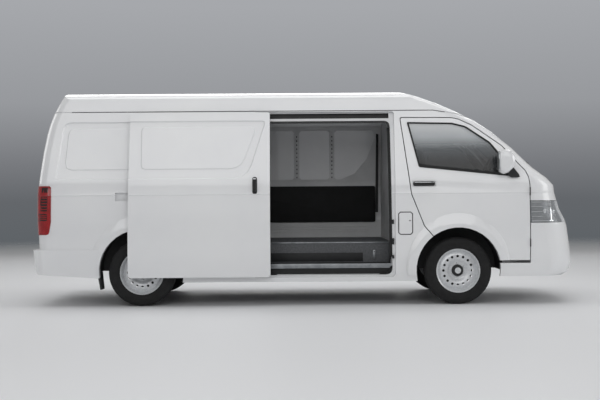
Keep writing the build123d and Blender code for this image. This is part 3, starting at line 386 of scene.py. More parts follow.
def setPiece(bm, name, finish, body, slot, limit=35, stands=(), turnOut=True):
    bmesh.ops.remove_doubles(bm, verts=bm.verts, dist=0.02 * mm)
    if turnOut:
        bmesh.ops.recalc_face_normals(bm, faces=bm.faces)
    softenShading(bm, limit)
    mesh = bpy.data.meshes.new(name)
    bm.to_mesh(mesh)
    bm.free()
    mesh.materials.append(finishes[finish])
    piece = bpy.data.objects.new(name, mesh)
    bpy.context.scene.collection.objects.link(piece)
    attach(piece, body)
    if stands:
        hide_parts(*stands)
    return piece


# A welded copy of a CAD node, ready to be worked on
def nodeCopy(name):
    bm = bmesh.new()
    bm.from_mesh(nodes[name].data)
    bmesh.ops.remove_doubles(bm, verts=bm.verts, dist=0.02 * mm)
    bmesh.ops.dissolve_limit(bm, angle_limit=radians(0.3), verts=bm.verts, edges=bm.edges)
    return bm


def flipSide(bm):
    for vert in bm.verts:
        vert.co.y = -vert.co.y
    bmesh.ops.reverse_faces(bm, faces=bm.faces)


# A piece made for the right of the van, turned over where it is for the left
def setSide(bm, side, name, *rest):
    if side == "left":
        flipSide(bm)
    setPiece(bm, name + "_" + side, *rest)


def joinInto(bm, other):
    mesh = bpy.data.meshes.new("joined")
    other.to_mesh(mesh)
    other.free()
    bm.from_mesh(mesh)
    bpy.data.meshes.remove(mesh)


# Painted and moulded shells: crisp at their edges, even over their curves
panels = {
    "creaseAngle": 31.0,
    "names": nodeFinish["whiteEnamel"] + nodeFinish["tintedGlassPaintedReflection"] + ["wheel_liners", "grille", "tail_lamps"],
}


def makePanels():
    finishOf = {name: finish for finish, names in nodeFinish.items() for name in names}
    for name in panels["names"]:
        bm = nodeCopy(name)
        piece = setPiece(
            bm, name + "_skin", finishOf[name], bodyOf[name], slotOf[name], panels["creaseAngle"], [name],
            False,
        )
        even = piece.modifiers.new("evenShading", "WEIGHTED_NORMAL")
        even.keep_sharp = True


# The faces of some CAD nodes, for finding where a straight line meets them
def treeOf(*names):
    points, faces = [], []
    for name in names:
        mesh = nodes[name].data
        first = len(points)
        points += [vert.co.copy() for vert in mesh.vertices]
        faces += [[first + i for i in face.vertices] for face in mesh.polygons]
    return BVHTree.FromPolygons(points, faces)


# Reads how far out the panels stand, so that trims lie on them
def skinOf(*names):
    tree = treeOf(*names)

    def sideAt(x, z, spread):
        found = []
        for dx, dz in ((0, 0), (spread, 0), (-spread, 0), (0, spread), (0, -spread)):
            hit = tree.ray_cast(Vector((x + dx, -3, z + dz)), Vector((0, 1, 0)))[0]
            if hit:
                found.append(hit.y)
        return min(found) if found else None

    return sideAt


# Extrudes faces and moves what they become; the reach is in millimetres
def pushOut(bm, faces, reach, keep=False):
    made = bmesh.ops.extrude_face_region(bm, geom=faces, use_keep_orig=keep)["geom"]
    moved = [part for part in made if isinstance(part, bmesh.types.BMVert)]
    bmesh.ops.translate(bm, vec=Vector(reach) * mm, verts=moved)
    return moved


# A trim cut from a flat outline (millimetres, as seen from the right), laid on the side and given a thickness
def layTrim(outline, sideAt, lift, thickness, spread=12, ring=0, pitch=70):
    bm = bmesh.new()
    face = bm.faces.new([bm.verts.new((x * mm, 0, z * mm)) for x, z in outline])
    face.normal_update()
    if ring:
        bmesh.ops.inset_region(
            bm, faces=[face], thickness=ring * mm, use_even_offset=False, use_boundary=True
        )
        bmesh.ops.delete(bm, geom=[face], context="FACES_ONLY")
    low = [min(p[i] for p in outline) for i in (0, 1)]
    high = [max(p[i] for p in outline) for i in (0, 1)]
    for axis, normal in ((0, (1, 0, 0)), (1, (0, 0, 1))):
        for step in range(1, int((high[axis] - low[axis]) / pitch) + 1):
            at = (low[axis] + step * pitch) * mm
            place = (at, 0, 0) if axis == 0 else (0, 0, at)
            geometry = bm.verts[:] + bm.edges[:] + bm.faces[:]
            bmesh.ops.bisect_plane(bm, geom=geometry, dist=0.0001, plane_co=place, plane_no=normal)
    last = None
    for vert in bm.verts:
        y = sideAt(vert.co.x, vert.co.z, spread * mm)
        last = y if y is not None else last
        vert.co.y = (last or -0.9) - lift * mm
    bmesh.ops.recalc_face_normals(bm, faces=bm.faces)
    if sum(face.normal.y * face.calc_area() for face in bm.faces) > 0:
        bmesh.ops.reverse_faces(bm, faces=bm.faces)
    pushOut(bm, bm.faces[:], (0, thickness, 0), True)
    bmesh.ops.recalc_face_normals(bm, faces=bm.faces)
    return bm


# Corner points of an outline, each corner replaced by a few points on a curve
def roundOff(points, radius, steps=4):
    ring = []
    count = len(points)
    for i, corner in enumerate(points):
        middle = Vector(corner)
        back = (Vector(points[i - 1]) - middle).normalized()
        ahead = (Vector(points[(i + 1) % count]) - middle).normalized()
        start, end = middle + back * radius, middle + ahead * radius
        for step in range(steps + 1):
            t = step / steps
            place = start * (1 - t) ** 2 + middle * 2 * t * (1 - t) + end * t ** 2
            ring.append((place.x, place.y))
    return ring


def grown(points, amount):
    middle = (sum(p[0] for p in points) / len(points), sum(p[1] for p in points) / len(points))
    ring = []
    for x, z in points:
        out = Vector((x - middle[0], z - middle[1]))
        out = out + Vector((amount if out.x > 0 else -amount, amount if out.y > 0 else -amount))
        ring.append((middle[0] + out.x, middle[1] + out.y))
    return ring


# Black rubber round the front door windows, with a deeper strip along the foot
doorWindow = {
    "outline": [(995, 1786), (1440, 1776), (1560, 1742), (1793, 1584), (2082, 1246), (1104, 1350)],
    "corner": 14,
    "sealWidth": 16,
    "sealOverlap": 6,
    "stand": 2.5,
    "footStrip": [(1108, 1348), (1100, 1374), (2058, 1272), (2080, 1247)],
    "footStand": 1.5,
}


def makeWindowSeals():
    spec = doorWindow
    sideAt = skinOf("front_door_right", "door_glass_right")
    for side in ("right", "left"):
        bm = layTrim(
            roundOff(grown(spec["outline"], spec["sealOverlap"]), spec["corner"]), sideAt, spec["stand"], 4,
            14, spec["sealWidth"],
        )
        joinInto(bm, layTrim(spec["footStrip"], sideAt, spec["footStand"], 5, 4))
        setSide(bm, side, "window_seal", "sealRubber", "door_" + side, "dark_trim", 35)


# Side doorway: rubber seal on the flange, tread strip on the step, bands below, and painted shade on the
# riser: a black panel where the riser lies in shadow
doorway = {
    "aperture": [(-463, 1803), (818, 1803), (830, 300), (-463, 300)],
    "corner": 62,
    "sealGrow": 6,
    "sealWidth": 28,
    "sealStand": 5,
    # low corner, high corner
    "footBand": ((-462, -866, 294), (829, -858, 357)),
    "sillStrip": ((-462, -876, 358), (829, -864, 403)),
    "floorEdge": ((-462, -648, 594), (830, -632, 606)),
    # painted shade: a black panel over the lower riser, where it lies in shadow
    "riserPaintedShade": ((-440, -645, 412), (560, -639, 498)),
    "riserLatch": ((662, -648, 434), (686, -639, 524)),
    "latchEye": ((669, -650, 502), (679, -646, 512)),
}


def makeDoorwaySeals():
    spec = doorway
    sideAt = skinOf("door_frame_right")
    bm = layTrim(
        roundOff(grown(spec["aperture"], spec["sealGrow"]), spec["corner"] + spec["sealGrow"] / 2, 6), sideAt,
        spec["sealStand"], 8, 10, spec["sealWidth"], 90,
    )
    boxAt(bm, *spec["footBand"], 3)
    setPiece(bm, "doorway_seal", "sealRubber", "body", "dark_trim", 50)
    bm = bmesh.new()
    for name in ("sillStrip", "floorEdge", "riserLatch"):
        boxAt(bm, *spec[name], 2.5)
    setPiece(bm, "sill_plates", "batteryAluminium", "body", "battery_case")
    # painted shade on the riser: a black panel, with the dark eye of the latch
    bm = bmesh.new()
    for name in ("riserPaintedShade", "latchEye"):
        boxAt(bm, *spec[name], 1.5)
    setPiece(bm, "riser_shade_and_latch_eye", "mouldedBlack", "body", "dark_trim")


# Step tread in the side doorway: a ribbed rubber mat
stepTread = {
    "x": (-460, 815), "y": (-866, -660), "top": 400, "mat": 3, "ribs": 9, "ribWidth": 10, "ribHeight": 4,
}


def boxAt(bm, low, high, bevel=0.0, segments=2):
    made = bmesh.ops.create_cube(bm, size=1.0)["verts"]
    size = [(b - a) * mm for a, b in zip(low, high)]
    middle = [(a + b) / 2 * mm for a, b in zip(low, high)]
    bmesh.ops.scale(bm, vec=size, verts=made)
    bmesh.ops.translate(bm, vec=middle, verts=made)
    if bevel:
        edges = list({edge for vert in made for edge in vert.link_edges})
        bmesh.ops.bevel(
            bm, geom=edges, offset=bevel * mm, offset_type="OFFSET", segments=segments, profile=0.5,
            affect="EDGES", material=-1, clamp_overlap=True,
        )


def makeStepTread():
    spec = stepTread
    bm = bmesh.new()
    (x0, x1), (y0, y1) = spec["x"], spec["y"]
    foot = spec["top"] + spec["mat"]
    boxAt(bm, (x0, y0, spec["top"]), (x1, y1, foot), 1)
    for rib in range(spec["ribs"]):
        y = y0 + 14 + rib * (y1 - y0 - 28) / spec["ribs"]
        boxAt(bm, (x0 + 20, y, foot), (x1 - 20, y + spec["ribWidth"], foot + spec["ribHeight"]), 1.5)
    setPiece(bm, "step_mat", "mouldedBlack", "body", "dark_trim")


# Tyres: a turned casing with rings on the wall and grooves in the tread
tyre = {
    "turns": 96,
    # across from the middle, radius
    "profile": [
        (70, 213), (84, 219), (93, 232), (97, 250), (97.4, 268), (95.5, 270.5), (96.6, 273), (95, 290),
        (92, 302), (88, 312), (80, 320.5), (70, 325), (58, 326.6), (44, 327), (43, 320), (36, 320),
        (35, 327), (14, 327), (13, 320), (6, 320), (5, 327),
    ],
    "bead": [(-66, 209), (66, 209)],
}


# A full turn of a profile about one of the axes
def spinRound(bm, geometry, axis, turns):
    bmesh.ops.spin(
        bm, geom=geometry, cent=(0, 0, 0), axis=axis, dvec=(0, 0, 0), angle=2 * pi, steps=turns,
        use_merge=True, use_duplicate=False,
    )


def spinRing(bm, points, turns):
    verts = [bm.verts.new((0, y * mm, r * mm)) for y, r in points]
    edges = [bm.edges.new(pair) for pair in zip(verts, verts[1:] + verts[:1])]
    spinRound(bm, verts + edges, (0, 1, 0), turns)


def wheelCentre(place):
    low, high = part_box("wheel_" + place)
    return (low + high) / 2


def makeTyres():
    half = tyre["profile"]
    ring = half + [(-y, r) for y, r in reversed(half)]
    ring += tyre["bead"]
    for place in places:
        bm = bmesh.new()
        spinRing(bm, ring, tyre["turns"])
        bmesh.ops.translate(bm, vec=wheelCentre(place), verts=bm.verts)
        setPiece(
            bm, "tyre_casing_" + place, "tyreRubber", bodyOf["tyre_" + place], "tyre", 28,
            ["tyre_" + place],
        )


# Pressed wheels: rim well, dished disc with a ring of round holes, nuts and a cap
pressing = {
    "turns": 64,
    "holes": 16,
    "holeRadius": 13,
    "sheet": 7,
    # across from the middle, radius; the outer face is at +Y
    "rim": [(-84, 215), (-78, 215), (-74, 207), (-60, 206), (-40, 186), (-10, 184), (30, 186), (56, 206),
            (72, 207), (78, 215), (84, 215)],
    "disc": [
        (34, 186), (40, 174), (46, 157), (46.5, 141), (46, 125), (42, 108), (30, 92), (26, 80), (26, 58),
    ],
    "holeRing": 141,
    "capProfile": [(26, 57), (46, 55), (56, 50), (60, 40), (62, 22), (62, 0)],
    "capInset": [(61.5, 30), (63.5, 28), (64, 14), (64, 0)],
    "nutRing": 73,
    "nuts": 6,
    "nutSize": 11,
    "nutTaper": 0.8,
    "nutDepth": 18,
    "nutStand": 36,
}


def spinSheet(bm, points, turns):
    verts = [bm.verts.new((0, y * mm, r * mm)) for y, r in points]
    edges = [bm.edges.new(pair) for pair in zip(verts, verts[1:])]
    spinRound(bm, verts + edges, (0, 1, 0), turns)
    bmesh.ops.remove_doubles(bm, verts=bm.verts, dist=0.01 * mm)


# A piece of a wheel, made round the origin with its outer face at +Y
def setOnWheel(bm, place, name, finish, slot, stands=()):
    if place.endswith("right"):
        flipSide(bm)
    bmesh.ops.translate(bm, vec=wheelCentre(place), verts=bm.verts)
    setPiece(bm, name + "_" + place, finish, bodyOf["wheel_" + place], slot, 30, stands)


# A short turned plug, its two radii and depth in millimetres
def plugAt(bm, sides, foot, head, depth, matrix):
    bmesh.ops.create_cone(
        bm, cap_ends=True, segments=sides, radius1=foot * mm, radius2=head * mm, depth=depth * mm,
        matrix=matrix,
    )


# Cuts a round hole in the face nearest to the given middle
def punchHole(bm, middle, radius):
    face = min(bm.faces, key=lambda f: (f.calc_center_median() - middle).length)
    bmesh.ops.subdivide_edges(bm, edges=face.edges[:], cuts=1)
    face = min(bm.faces, key=lambda f: (f.calc_center_median() - middle).length)
    bmesh.ops.inset_region(
        bm, faces=[face], thickness=0.4 * mm, use_even_offset=True, use_boundary=True
    )
    for vert in face.verts:
        out = vert.co - middle
        out.y = 0
        vert.co = middle + out.normalized() * radius
    bmesh.ops.delete(bm, geom=[face], context="FACES_ONLY")


def makeWheels():
    spec = pressing
    for place in places:
        bm = bmesh.new()
        spinSheet(bm, spec["disc"], spec["turns"])
        step = spec["turns"] // spec["holes"]
        centres = []
        for vert in bm.verts:
            if abs(hypot(vert.co.x, vert.co.z) - spec["holeRing"] * mm) < 0.2 * mm:
                turn = round(atan2(vert.co.x, vert.co.z) / (2 * pi) * spec["turns"]) % spec["turns"]
                if turn % step == 0:
                    centres.append(vert)
        middles = [vert.co.copy() for vert in centres]
        bmesh.ops.dissolve_verts(bm, verts=centres)
        for middle in middles:
            punchHole(bm, middle, spec["holeRadius"] * mm)
        rim = bmesh.new()
        spinSheet(rim, spec["rim"], spec["turns"])
        joinInto(bm, rim)
        bmesh.ops.recalc_face_normals(bm, faces=bm.faces)
        bmesh.ops.solidify(bm, geom=bm.faces[:], thickness=spec["sheet"] * mm / 2)
        setOnWheel(bm, place, "pressed_wheel", "silverWheelPaint", "wheel_silver", ["wheel_" + place])

        bm = bmesh.new()
        spinSheet(bm, spec["capProfile"], 48)
        setOnWheel(bm, place, "hub_cap", "mouldedBlack", "dark_trim")
        bm = bmesh.new()
        spinSheet(bm, spec["capInset"], 48)
        setOnWheel(bm, place, "cap_disc", "silverWheelPaint", "wheel_silver")

        bm = bmesh.new()
        for nut in range(spec["nuts"]):
            turn = 2 * pi * nut / spec["nuts"]
            x, z = spec["nutRing"] * sin(turn) * mm, spec["nutRing"] * cos(turn) * mm
            plugAt(
                bm, 6, spec["nutSize"], spec["nutSize"] * spec["nutTaper"], spec["nutDepth"],
                Matrix.Translation((x, spec["nutStand"] * mm, z)) @ Matrix.Rotation(radians(-90), 4, "X"),
            )
        setOnWheel(bm, place, "wheel_nuts", "silverWheelPaint", "wheel_silver")


# A flat plate: its outline lies in X and Z (millimetres) and it reaches from one Y to another
def plateAcross(bm, outline, near, deep, bevel=0.0):
    face = bm.faces.new([bm.verts.new((x * mm, near * mm, z * mm)) for x, z in outline])
    moved = pushOut(bm, [face], (0, deep - near, 0))
    if bevel:
        edges = [e for e in bm.edges if sum(v in moved for v in e.verts) != 1]
        bmesh.ops.bevel(
            bm, geom=edges, offset=bevel * mm, offset_type="OFFSET", segments=2, profile=0.5, affect="EDGES",
            material=-1, clamp_overlap=True,
        )


def oblong(x, z, width, height, radius, steps=4):
    w, h = width / 2, height / 2
    return roundOff([(x - w, z - h), (x + w, z - h), (x + w, z + h), (x - w, z + h)], radius, steps)


# Painted shade in the drip groove along each side of the roof: a black rubber strip laid where the groove
# only holds shadow
dripShadeStrip = {
    "foot": [(-2474, 1906), (1250, 1906), (1478, 1869), (1636, 1824)],
    "height": 6,
    "stand": 0.6,
    "thickness": 3,
}


def makeDripShadeStrips():
    spec = dripShadeStrip
    outline = spec["foot"] + [(x, z + spec["height"]) for x, z in reversed(spec["foot"])]
    for side in ("right", "left"):
        # the black strip stands in for the shadow in the groove
        bm = layTrim(outline, skinOf("roof_panel"), spec["stand"], spec["thickness"], 0, 0, 160)
        setSide(bm, side, "drip_groove_painted_shade", "sealRubber", "body", "dark_trim")


# Brake discs behind the pressed wheels
brake = {
    # across from the middle, radius
    "ring": [(-12, 52), (-12, 146), (-2, 148), (6, 148), (10, 146), (10, 100), (20, 84), (20, 52)],
    "turns": 48,
}


def makeBrakes():
    for place in places:
        bm = bmesh.new()
        spinRing(bm, brake["ring"], brake["turns"])
        setOnWheel(bm, place, "brake_disc", "chassisCoat", "black_steel")


# Door handles: a dished cup behind each bar, and a painted highlight along the top of each gloss black bar: a
# thin chrome strip where its lit edge shines
handles = {
    "cup": (1146, 1181, 212, 42, 20),
    "cupFloor": -919.6,
    "cupFace": -921,
    "highlightLine": (1050, 1242, 1191, 1197),
    "highlightFace": -976,
    "highlightBack": -966,
    "slideCup": (-505, 1174, 46, 164, 20),
    "slideStand": 2,
    "slideHighlight": (-519, -491, 1232, 1242),
    "slideHighlightFace": -1062,
    "slideHighlightBack": -1040,
}


def makeHandles():
    spec = handles
    for side in ("right", "left"):
        bm = bmesh.new()
        plateAcross(bm, oblong(*spec["cup"]), spec["cupFloor"], spec["cupFace"])
        setSide(bm, side, "handle_cup", "mouldedBlack", "door_" + side, "dark_trim")
        # painted highlight: a chrome strip along the top edge of the black bar
        bm = bmesh.new()
        x0, x1, z0, z1 = spec["highlightLine"]
        boxAt(bm, (x0, spec["highlightFace"], z0), (x1, spec["highlightBack"], z1), 2)
        setSide(bm, side, "handle_painted_highlight", "chromePlate", "door_" + side, "gloss_black")
    bm = layTrim(oblong(*spec["slideCup"]), skinOf("sliding_door"), spec["slideStand"], 4, 0)
    setPiece(bm, "slide_handle_plate", "mouldedBlack", "body", "dark_trim")
    # painted highlight: a small chrome cap on the top edge of the sliding door's black handle
    bm = bmesh.new()
    x0, x1, z0, z1 = spec["slideHighlight"]
    boxAt(bm, (x0, spec["slideHighlightFace"], z0), (x1, spec["slideHighlightBack"], z1), 3)
    setPiece(bm, "slide_handle_painted_highlight", "chromePlate", "body", "gloss_black")


# Tail lamps: smoked fields and raised ribs over the red moulding
tailLamp = {
    "fields": [
        [(-2592, 1118), (-2528, 1118), (-2524, 1168), (-2588, 1168)],
        [(-2606, 935), (-2534, 935), (-2532, 1080), (-2600, 1080)],
        [(-2630, 842), (-2536, 842), (-2534, 910), (-2630, 910)],
    ],
    "ribs": [(-2592, -2536, z) for z in (950, 978, 1006, 1034, 1062)]
    + [(-2628, -2538, z) for z in (855, 872, 889)],
    "ribHeight": 9,
}


def makeTailLamps():
    spec = tailLamp
    sideAt = skinOf("tail_lamps")
    for side in ("right", "left"):
        smoke = bmesh.new()
        for field in spec["fields"]:
            joinInto(smoke, layTrim(roundOff(field, 8, 2), sideAt, 1.2, 2.5, 0, 0, 30))
        ribs = bmesh.new()
        for x0, x1, z in spec["ribs"]:
            strip = [(x0, z), (x1, z), (x1, z + spec["ribHeight"]), (x0, z + spec["ribHeight"])]
            joinInto(ribs, layTrim(strip, sideAt, 4, 5, 0, 0, 30))
        setSide(smoke, side, "tail_lamp_smoke", "smokedAcrylic", "body", "lamp_red")
        setSide(ribs, side, "tail_lamp_ribs", "redLens", "body", "lamp_red")


# Headlamps: a clear outer skin over a dark tray with two barrels, bright bars and a black brow
headlamp = {
    # which way the lamp's skin faces, forwards and to the side, and how far a face of it may turn from that
    "faces": (0.75, 0.66),
    "least": 0.25,
    "skin": 3,
    "trayDepth": 30,
    "trayScale": 0.97,
    # x and z on the lens, radius
    "barrels": [(2352, 908, 30), (2450, 902, 27)],
    # along the barrel, share of its radius
    "barrelProfile": [(-22, 0.7), (0, 1), (10, 1), (10, 0.86), (16, 0.7), (20, 0.4), (21, 0)],
    "barrelInset": 38,
    "aim": -41,
    # x from and to, z from and to
    "bars": [
        (2200, 2310, 990, 999), (2200, 2310, 948, 955), (2200, 2310, 900, 907), (2200, 2310, 852, 859),
        (2200, 2420, 806, 817), (2396, 2406, 806, 1000),
    ],
    "barInset": 12,
    "browDepth": 6,
    "brow": (2190, 2480, 1002, 1030),
}


def lampOut(side):
    ahead, aside = headlamp["faces"]
    return Vector((ahead, -aside if side == "right" else aside, 0))


# The outward-facing faces of a lamp, as one sheet
def lampSheet(side):
    bm = nodeCopy("headlamps")
    away = lampOut(side)
    drop = [
        f for f in bm.faces
        if f.calc_center_median().y * away.y < 0 or f.normal.dot(away) < headlamp["least"]
    ]
    bmesh.ops.delete(bm, geom=drop, context="FACES")
    return bm


# A strip of the lamp's sheet between two X and two Z, moved inwards and given a thickness
def lampStrip(side, x0, x1, z0, z1, inset):
    bm = lampSheet(side)
    for place, normal in (
        ((x0 * mm, 0, 0), (-1, 0, 0)), ((x1 * mm, 0, 0), (1, 0, 0)),
        ((0, 0, z0 * mm), (0, 0, -1)), ((0, 0, z1 * mm), (0, 0, 1)),
    ):
        bmesh.ops.bisect_plane(
            bm, geom=bm.verts[:] + bm.edges[:] + bm.faces[:], dist=0.00001, plane_co=place, plane_no=normal,
            clear_outer=True,
        )
    bmesh.ops.translate(bm, vec=-lampOut(side) * inset * mm, verts=bm.verts)
    bmesh.ops.solidify(bm, geom=bm.faces[:], thickness=headlamp["skin"] * mm)
    return bm


def makeHeadlamps():
    spec = headlamp
    lensAt = skinOf("headlamps")
    for side in ("right", "left"):
        sign = -1 if side == "right" else 1
        bm = lampSheet(side)
        bmesh.ops.solidify(bm, geom=bm.faces[:], thickness=spec["skin"] * mm)
        stands = ["headlamps"] if side == "right" else []
        setPiece(bm, "headlamp_skin_" + side, "clearLens", "body", "lamp_clear", 31, stands, False)
        bm = lampSheet(side)
        middle = sum((v.co for v in bm.verts), Vector()) / len(bm.verts)
        bmesh.ops.translate(bm, vec=-middle, verts=bm.verts)
        bmesh.ops.scale(bm, vec=(1, 1, spec["trayScale"]), verts=bm.verts)
        bmesh.ops.translate(bm, vec=middle - lampOut(side) * spec["trayDepth"] * mm, verts=bm.verts)
        bmesh.ops.solidify(bm, geom=bm.faces[:], thickness=spec["skin"] * mm)
        setPiece(bm, "headlamp_tray_" + side, "lampChrome", "body", "gloss_black", 31, (), False)
        bm = bmesh.new()
        for x, z, radius in spec["barrels"]:
            lens = Vector((x * mm, lensAt(x * mm, z * mm, 0) * -sign, z * mm))
            place = lens - lampOut(side) * spec["barrelInset"] * mm
            verts = [bm.verts.new((d * mm, 0, radius * r * mm)) for d, r in spec["barrelProfile"]]
            edges = [bm.edges.new(pair) for pair in zip(verts, verts[1:])]
            spinRound(bm, verts + edges, (1, 0, 0), 32)
            near = [v for v in bm.verts if not v.tag]
            turn = Matrix.Rotation(radians(spec["aim"] if sign < 0 else -spec["aim"]), 4, "Z")
            bmesh.ops.transform(bm, matrix=Matrix.Translation(place) @ turn, verts=near)
            for vert in bm.verts:
                vert.tag = True
        for bar in spec["bars"]:
            joinInto(bm, lampStrip(side, *bar, spec["barInset"]))
        setPiece(bm, "headlamp_barrels_" + side, "chromePlate", "body", "lamp_clear", 40)
        bm = lampStrip(side, *spec["brow"], spec["browDepth"])
        setPiece(bm, "headlamp_brow_" + side, "pianoBlack", "body", "gloss_black", 40)


# Door mirror glass, facing the rear
mirrorGlass = {
    "x": 1851.5,
    "thick": 3,
    "corner": 18,
    # away from the middle of the van, height
    "outline": [(990, 1310), (1092, 1310), (1100, 1400), (1096, 1470), (990, 1474)],
}


def makeMirrorGlass():
    spec = mirrorGlass
    for side in ("right", "left"):
        bm = bmesh.new()
        points = roundOff(spec["outline"], spec["corner"])
        face = bm.faces.new([bm.verts.new((spec["x"] * mm, -y * mm, z * mm)) for y, z in points])
        pushOut(bm, [face], (-spec["thick"], 0, 0))
        setSide(bm, side, "mirror_glass", "mirrorSilver", "door_" + side, "gloss_black")


# Left wall of the load space: the board, the row of slots down each rib, and the upright bar in front
leftWall = {
    "board": [(-1050, 775), (795, 775), (795, 1186), (-1050, 1186)],
    "boardY": (862, 872),
    "ribs": [-1670, -1060, -530, -100, 300],
    "slotBottom": 1290,
    "slotTop": 1790,
    "slotPitch": 46,
    "slotWide": 9,
    "slotTall": 24,
    "bar": [(786, 885), (818, 885), (826, 1770), (800, 1776)],
    "barY": (742, 756),
}


def makeLeftWall():
    spec = leftWall
    bm = bmesh.new()
    plateAcross(bm, roundOff(spec["board"], 22, 4), spec["boardY"][0], spec["boardY"][1], 1.5)
    setPiece(bm, "wall_board", "linerBoard", "body", "liner_board", 35, ["load_liner"])
    wall = treeOf("inner_frame")
    bm = bmesh.new()
    for x in spec["ribs"]:
        z = spec["slotBottom"]
        while z < spec["slotTop"]:
            hit = wall.ray_cast(Vector((x * mm, 0, z * mm)), Vector((0, 1, 0)))[0]
            if hit:
                y = hit.y / mm
                plateAcross(bm, oblong(x, z, spec["slotWide"], spec["slotTall"], 4, 2), y - 1, y + 2)
            z += spec["slotPitch"]
    setPiece(bm, "rib_slots", "mouldedBlack", "body", "dark_trim")
    bm = bmesh.new()
    plateAcross(bm, spec["bar"], spec["barY"][0], spec["barY"][1], 3)
    setPiece(bm, "belt_anchor_bar", "mouldedBlack", "body", "dark_trim")


# Swages pressed into the lower left wall and the load floor
swages = {
    "wall": [(-900, 700, 720), (-900, 700, 690), (-900, 700, 660)],
    "wallY": 883,
    "floor": range(-520, 560, 80),
    "floorX": (-2480, 830),
    "floorTop": 600,
    "width": 26,
    "height": 5,
}


def makeFloorRibs():
    spec = swages
    bm = bmesh.new()
    x0, x1 = spec["floorX"]
    for y in spec["floor"]:
        top = spec["floorTop"]
        boxAt(bm, (x0, y, top - 2), (x1, y + spec["width"], top + spec["height"]), 3, 2)
    setPiece(bm, "floor_ribs", "floorVinyl", "body", "load_floor")
    bm = bmesh.new()
    for x0, x1, z in spec["wall"]:
        boxAt(bm, (x0, spec["wallY"] - 5, z), (x1, spec["wallY"] + 12, z + 10), 3, 2)
    setPiece(bm, "wall_swages", "primerGrey", "body", "load_floor")


# Front bumper: lower intake net and plate blank
frontDetails = {
    "netX": 2560,
    "net": (-540, 540, 380, 512),
    "netPitch": 24,
    "netBar": 5,
    "plate": (-260, 260, 575, 690),
}


def makeFrontDetails():
    spec = frontDetails
    bm = bmesh.new()
    y0, y1, z0, z1 = spec["net"]
    x = spec["netX"]
    y = y0
    while y <= y1:
        boxAt(bm, (x - 4, y, z0 - 10), (x, y + spec["netBar"], z1 + 10))
        y += spec["netPitch"]
    z = z0
    while z <= z1:
        boxAt(bm, (x - 7, y0, z), (x - 3, y1, z + spec["netBar"]))
        z += spec["netPitch"]
    setPiece(bm, "intake_net", "mouldedBlack", "body", "dark_trim")
    bm = bmesh.new()
    y0, y1, z0, z1 = spec["plate"]
    front = treeOf("front_bumper").ray_cast(Vector((3, 0, (z0 + z1) / 2 * mm)), Vector((-1, 0, 0)))[0].x / mm
    boxAt(bm, (front - 12, y0, z0), (front + 3, y1, z1), 1.5)
    setPiece(bm, "front_plate_blank", "mouldedBlack", "body", "dark_trim")


# Tailgate: plate blank, handle, high brake lamp, wiper
rear = {
    "plate": (-262, 262, 772, 886),
    "plateX": (-2666, -2660),
    "handle": (-140, 140, 1020, 1048),
    "handleX": (-2668, -2654),
    "brakeLamp": (-150, 150, 1792, 1812),
    "wiperArm": [(0, 1262), (18, 1262), (320, 1330), (318, 1346), (0, 1290)],
    "wiperDepth": 9,
    # heights between which the wiper takes its place from the glass
    "wiperSeat": (1280, 1700),
}


def rearAt(y, z):
    return rear["tree"].ray_cast(Vector((-4, y * mm, z * mm)), Vector((1, 0, 0)))[0].x / mm


def makeRearDetails():
    spec = rear
    spec["tree"] = treeOf("tailgate", "tailgate_glass")
    bm = bmesh.new()
    y0, y1, z0, z1 = spec["plate"]
    boxAt(bm, (spec["plateX"][0], y0, z0), (spec["plateX"][1], y1, z1), 1.5)
    setPiece(bm, "rear_plate_blank", "mouldedBlack", "tailgate_lid", "dark_trim")
    bm = bmesh.new()
    y0, y1, z0, z1 = spec["handle"]
    boxAt(bm, (spec["handleX"][0], y0, z0), (spec["handleX"][1], y1, z1), 4)
    setPiece(bm, "tailgate_handle", "pianoBlack", "tailgate_lid", "gloss_black")
    bm = bmesh.new()
    y0, y1, z0, z1 = spec["brakeLamp"]
    x = rearAt(0, (z0 + z1) / 2)
    boxAt(bm, (x - 6, y0, z0), (x + 10, y1, z1), 4)
    setPiece(bm, "high_brake_lamp", "redLens", "tailgate_lid", "lamp_red")
    bm = bmesh.new()
    face = bm.faces.new([bm.verts.new((0, y * mm, z * mm)) for y, z in spec["wiperArm"]])
    pushOut(bm, [face], (-spec["wiperDepth"], 0, 0))
    for vert in bm.verts:
        z = min(max(vert.co.z / mm, spec["wiperSeat"][0]), spec["wiperSeat"][1])
        vert.co.x += (rearAt(vert.co.y / mm, z) - 6) * mm
    setPiece(bm, "rear_wiper", "mouldedBlack", "tailgate_lid", "dark_trim")


# Windscreen: two wipers parked along its foot
screen = {
    # from and to across the van
    "wipers": [(-560, 60), (60, 640)],
    "foot": 1372,
    "rise": 60,
    "steps": 12,
    "stand": (6, 0, 4),
    "bladeLean": 8,
    "bladeHeight": 14,
    "bladeThick": 7,
}


def screenAt(y, z):
    return screen["tree"].ray_cast(Vector((4, y * mm, z * mm)), Vector((-1, 0, 0)))[0]


def makeWindscreenDetails():
    spec = screen
    spec["tree"] = treeOf("windscreen", "nose_panel", "bonnet")
    bm = bmesh.new()
    for y0, y1 in spec["wipers"]:
        rows = []
        for step in range(spec["steps"] + 1):
            y = y0 + (y1 - y0) * step / spec["steps"]
            z = spec["foot"] + spec["rise"] * step / spec["steps"]
            rows.append(bm.verts.new(screenAt(y, z) + Vector(spec["stand"]) * mm))
        edges = [bm.edges.new(pair) for pair in zip(rows, rows[1:])]
        made = bmesh.ops.extrude_edge_only(bm, edges=edges)
        moved = [item for item in made["geom"] if isinstance(item, bmesh.types.BMVert)]
        bmesh.ops.translate(bm, vec=(spec["bladeLean"] * mm, 0, spec["bladeHeight"] * mm), verts=moved)
    bmesh.ops.recalc_face_normals(bm, faces=bm.faces)
    bmesh.ops.solidify(bm, geom=bm.faces[:], thickness=spec["bladeThick"] * mm)
    setPiece(bm, "wiper_blades", "mouldedBlack", "body", "dark_trim")


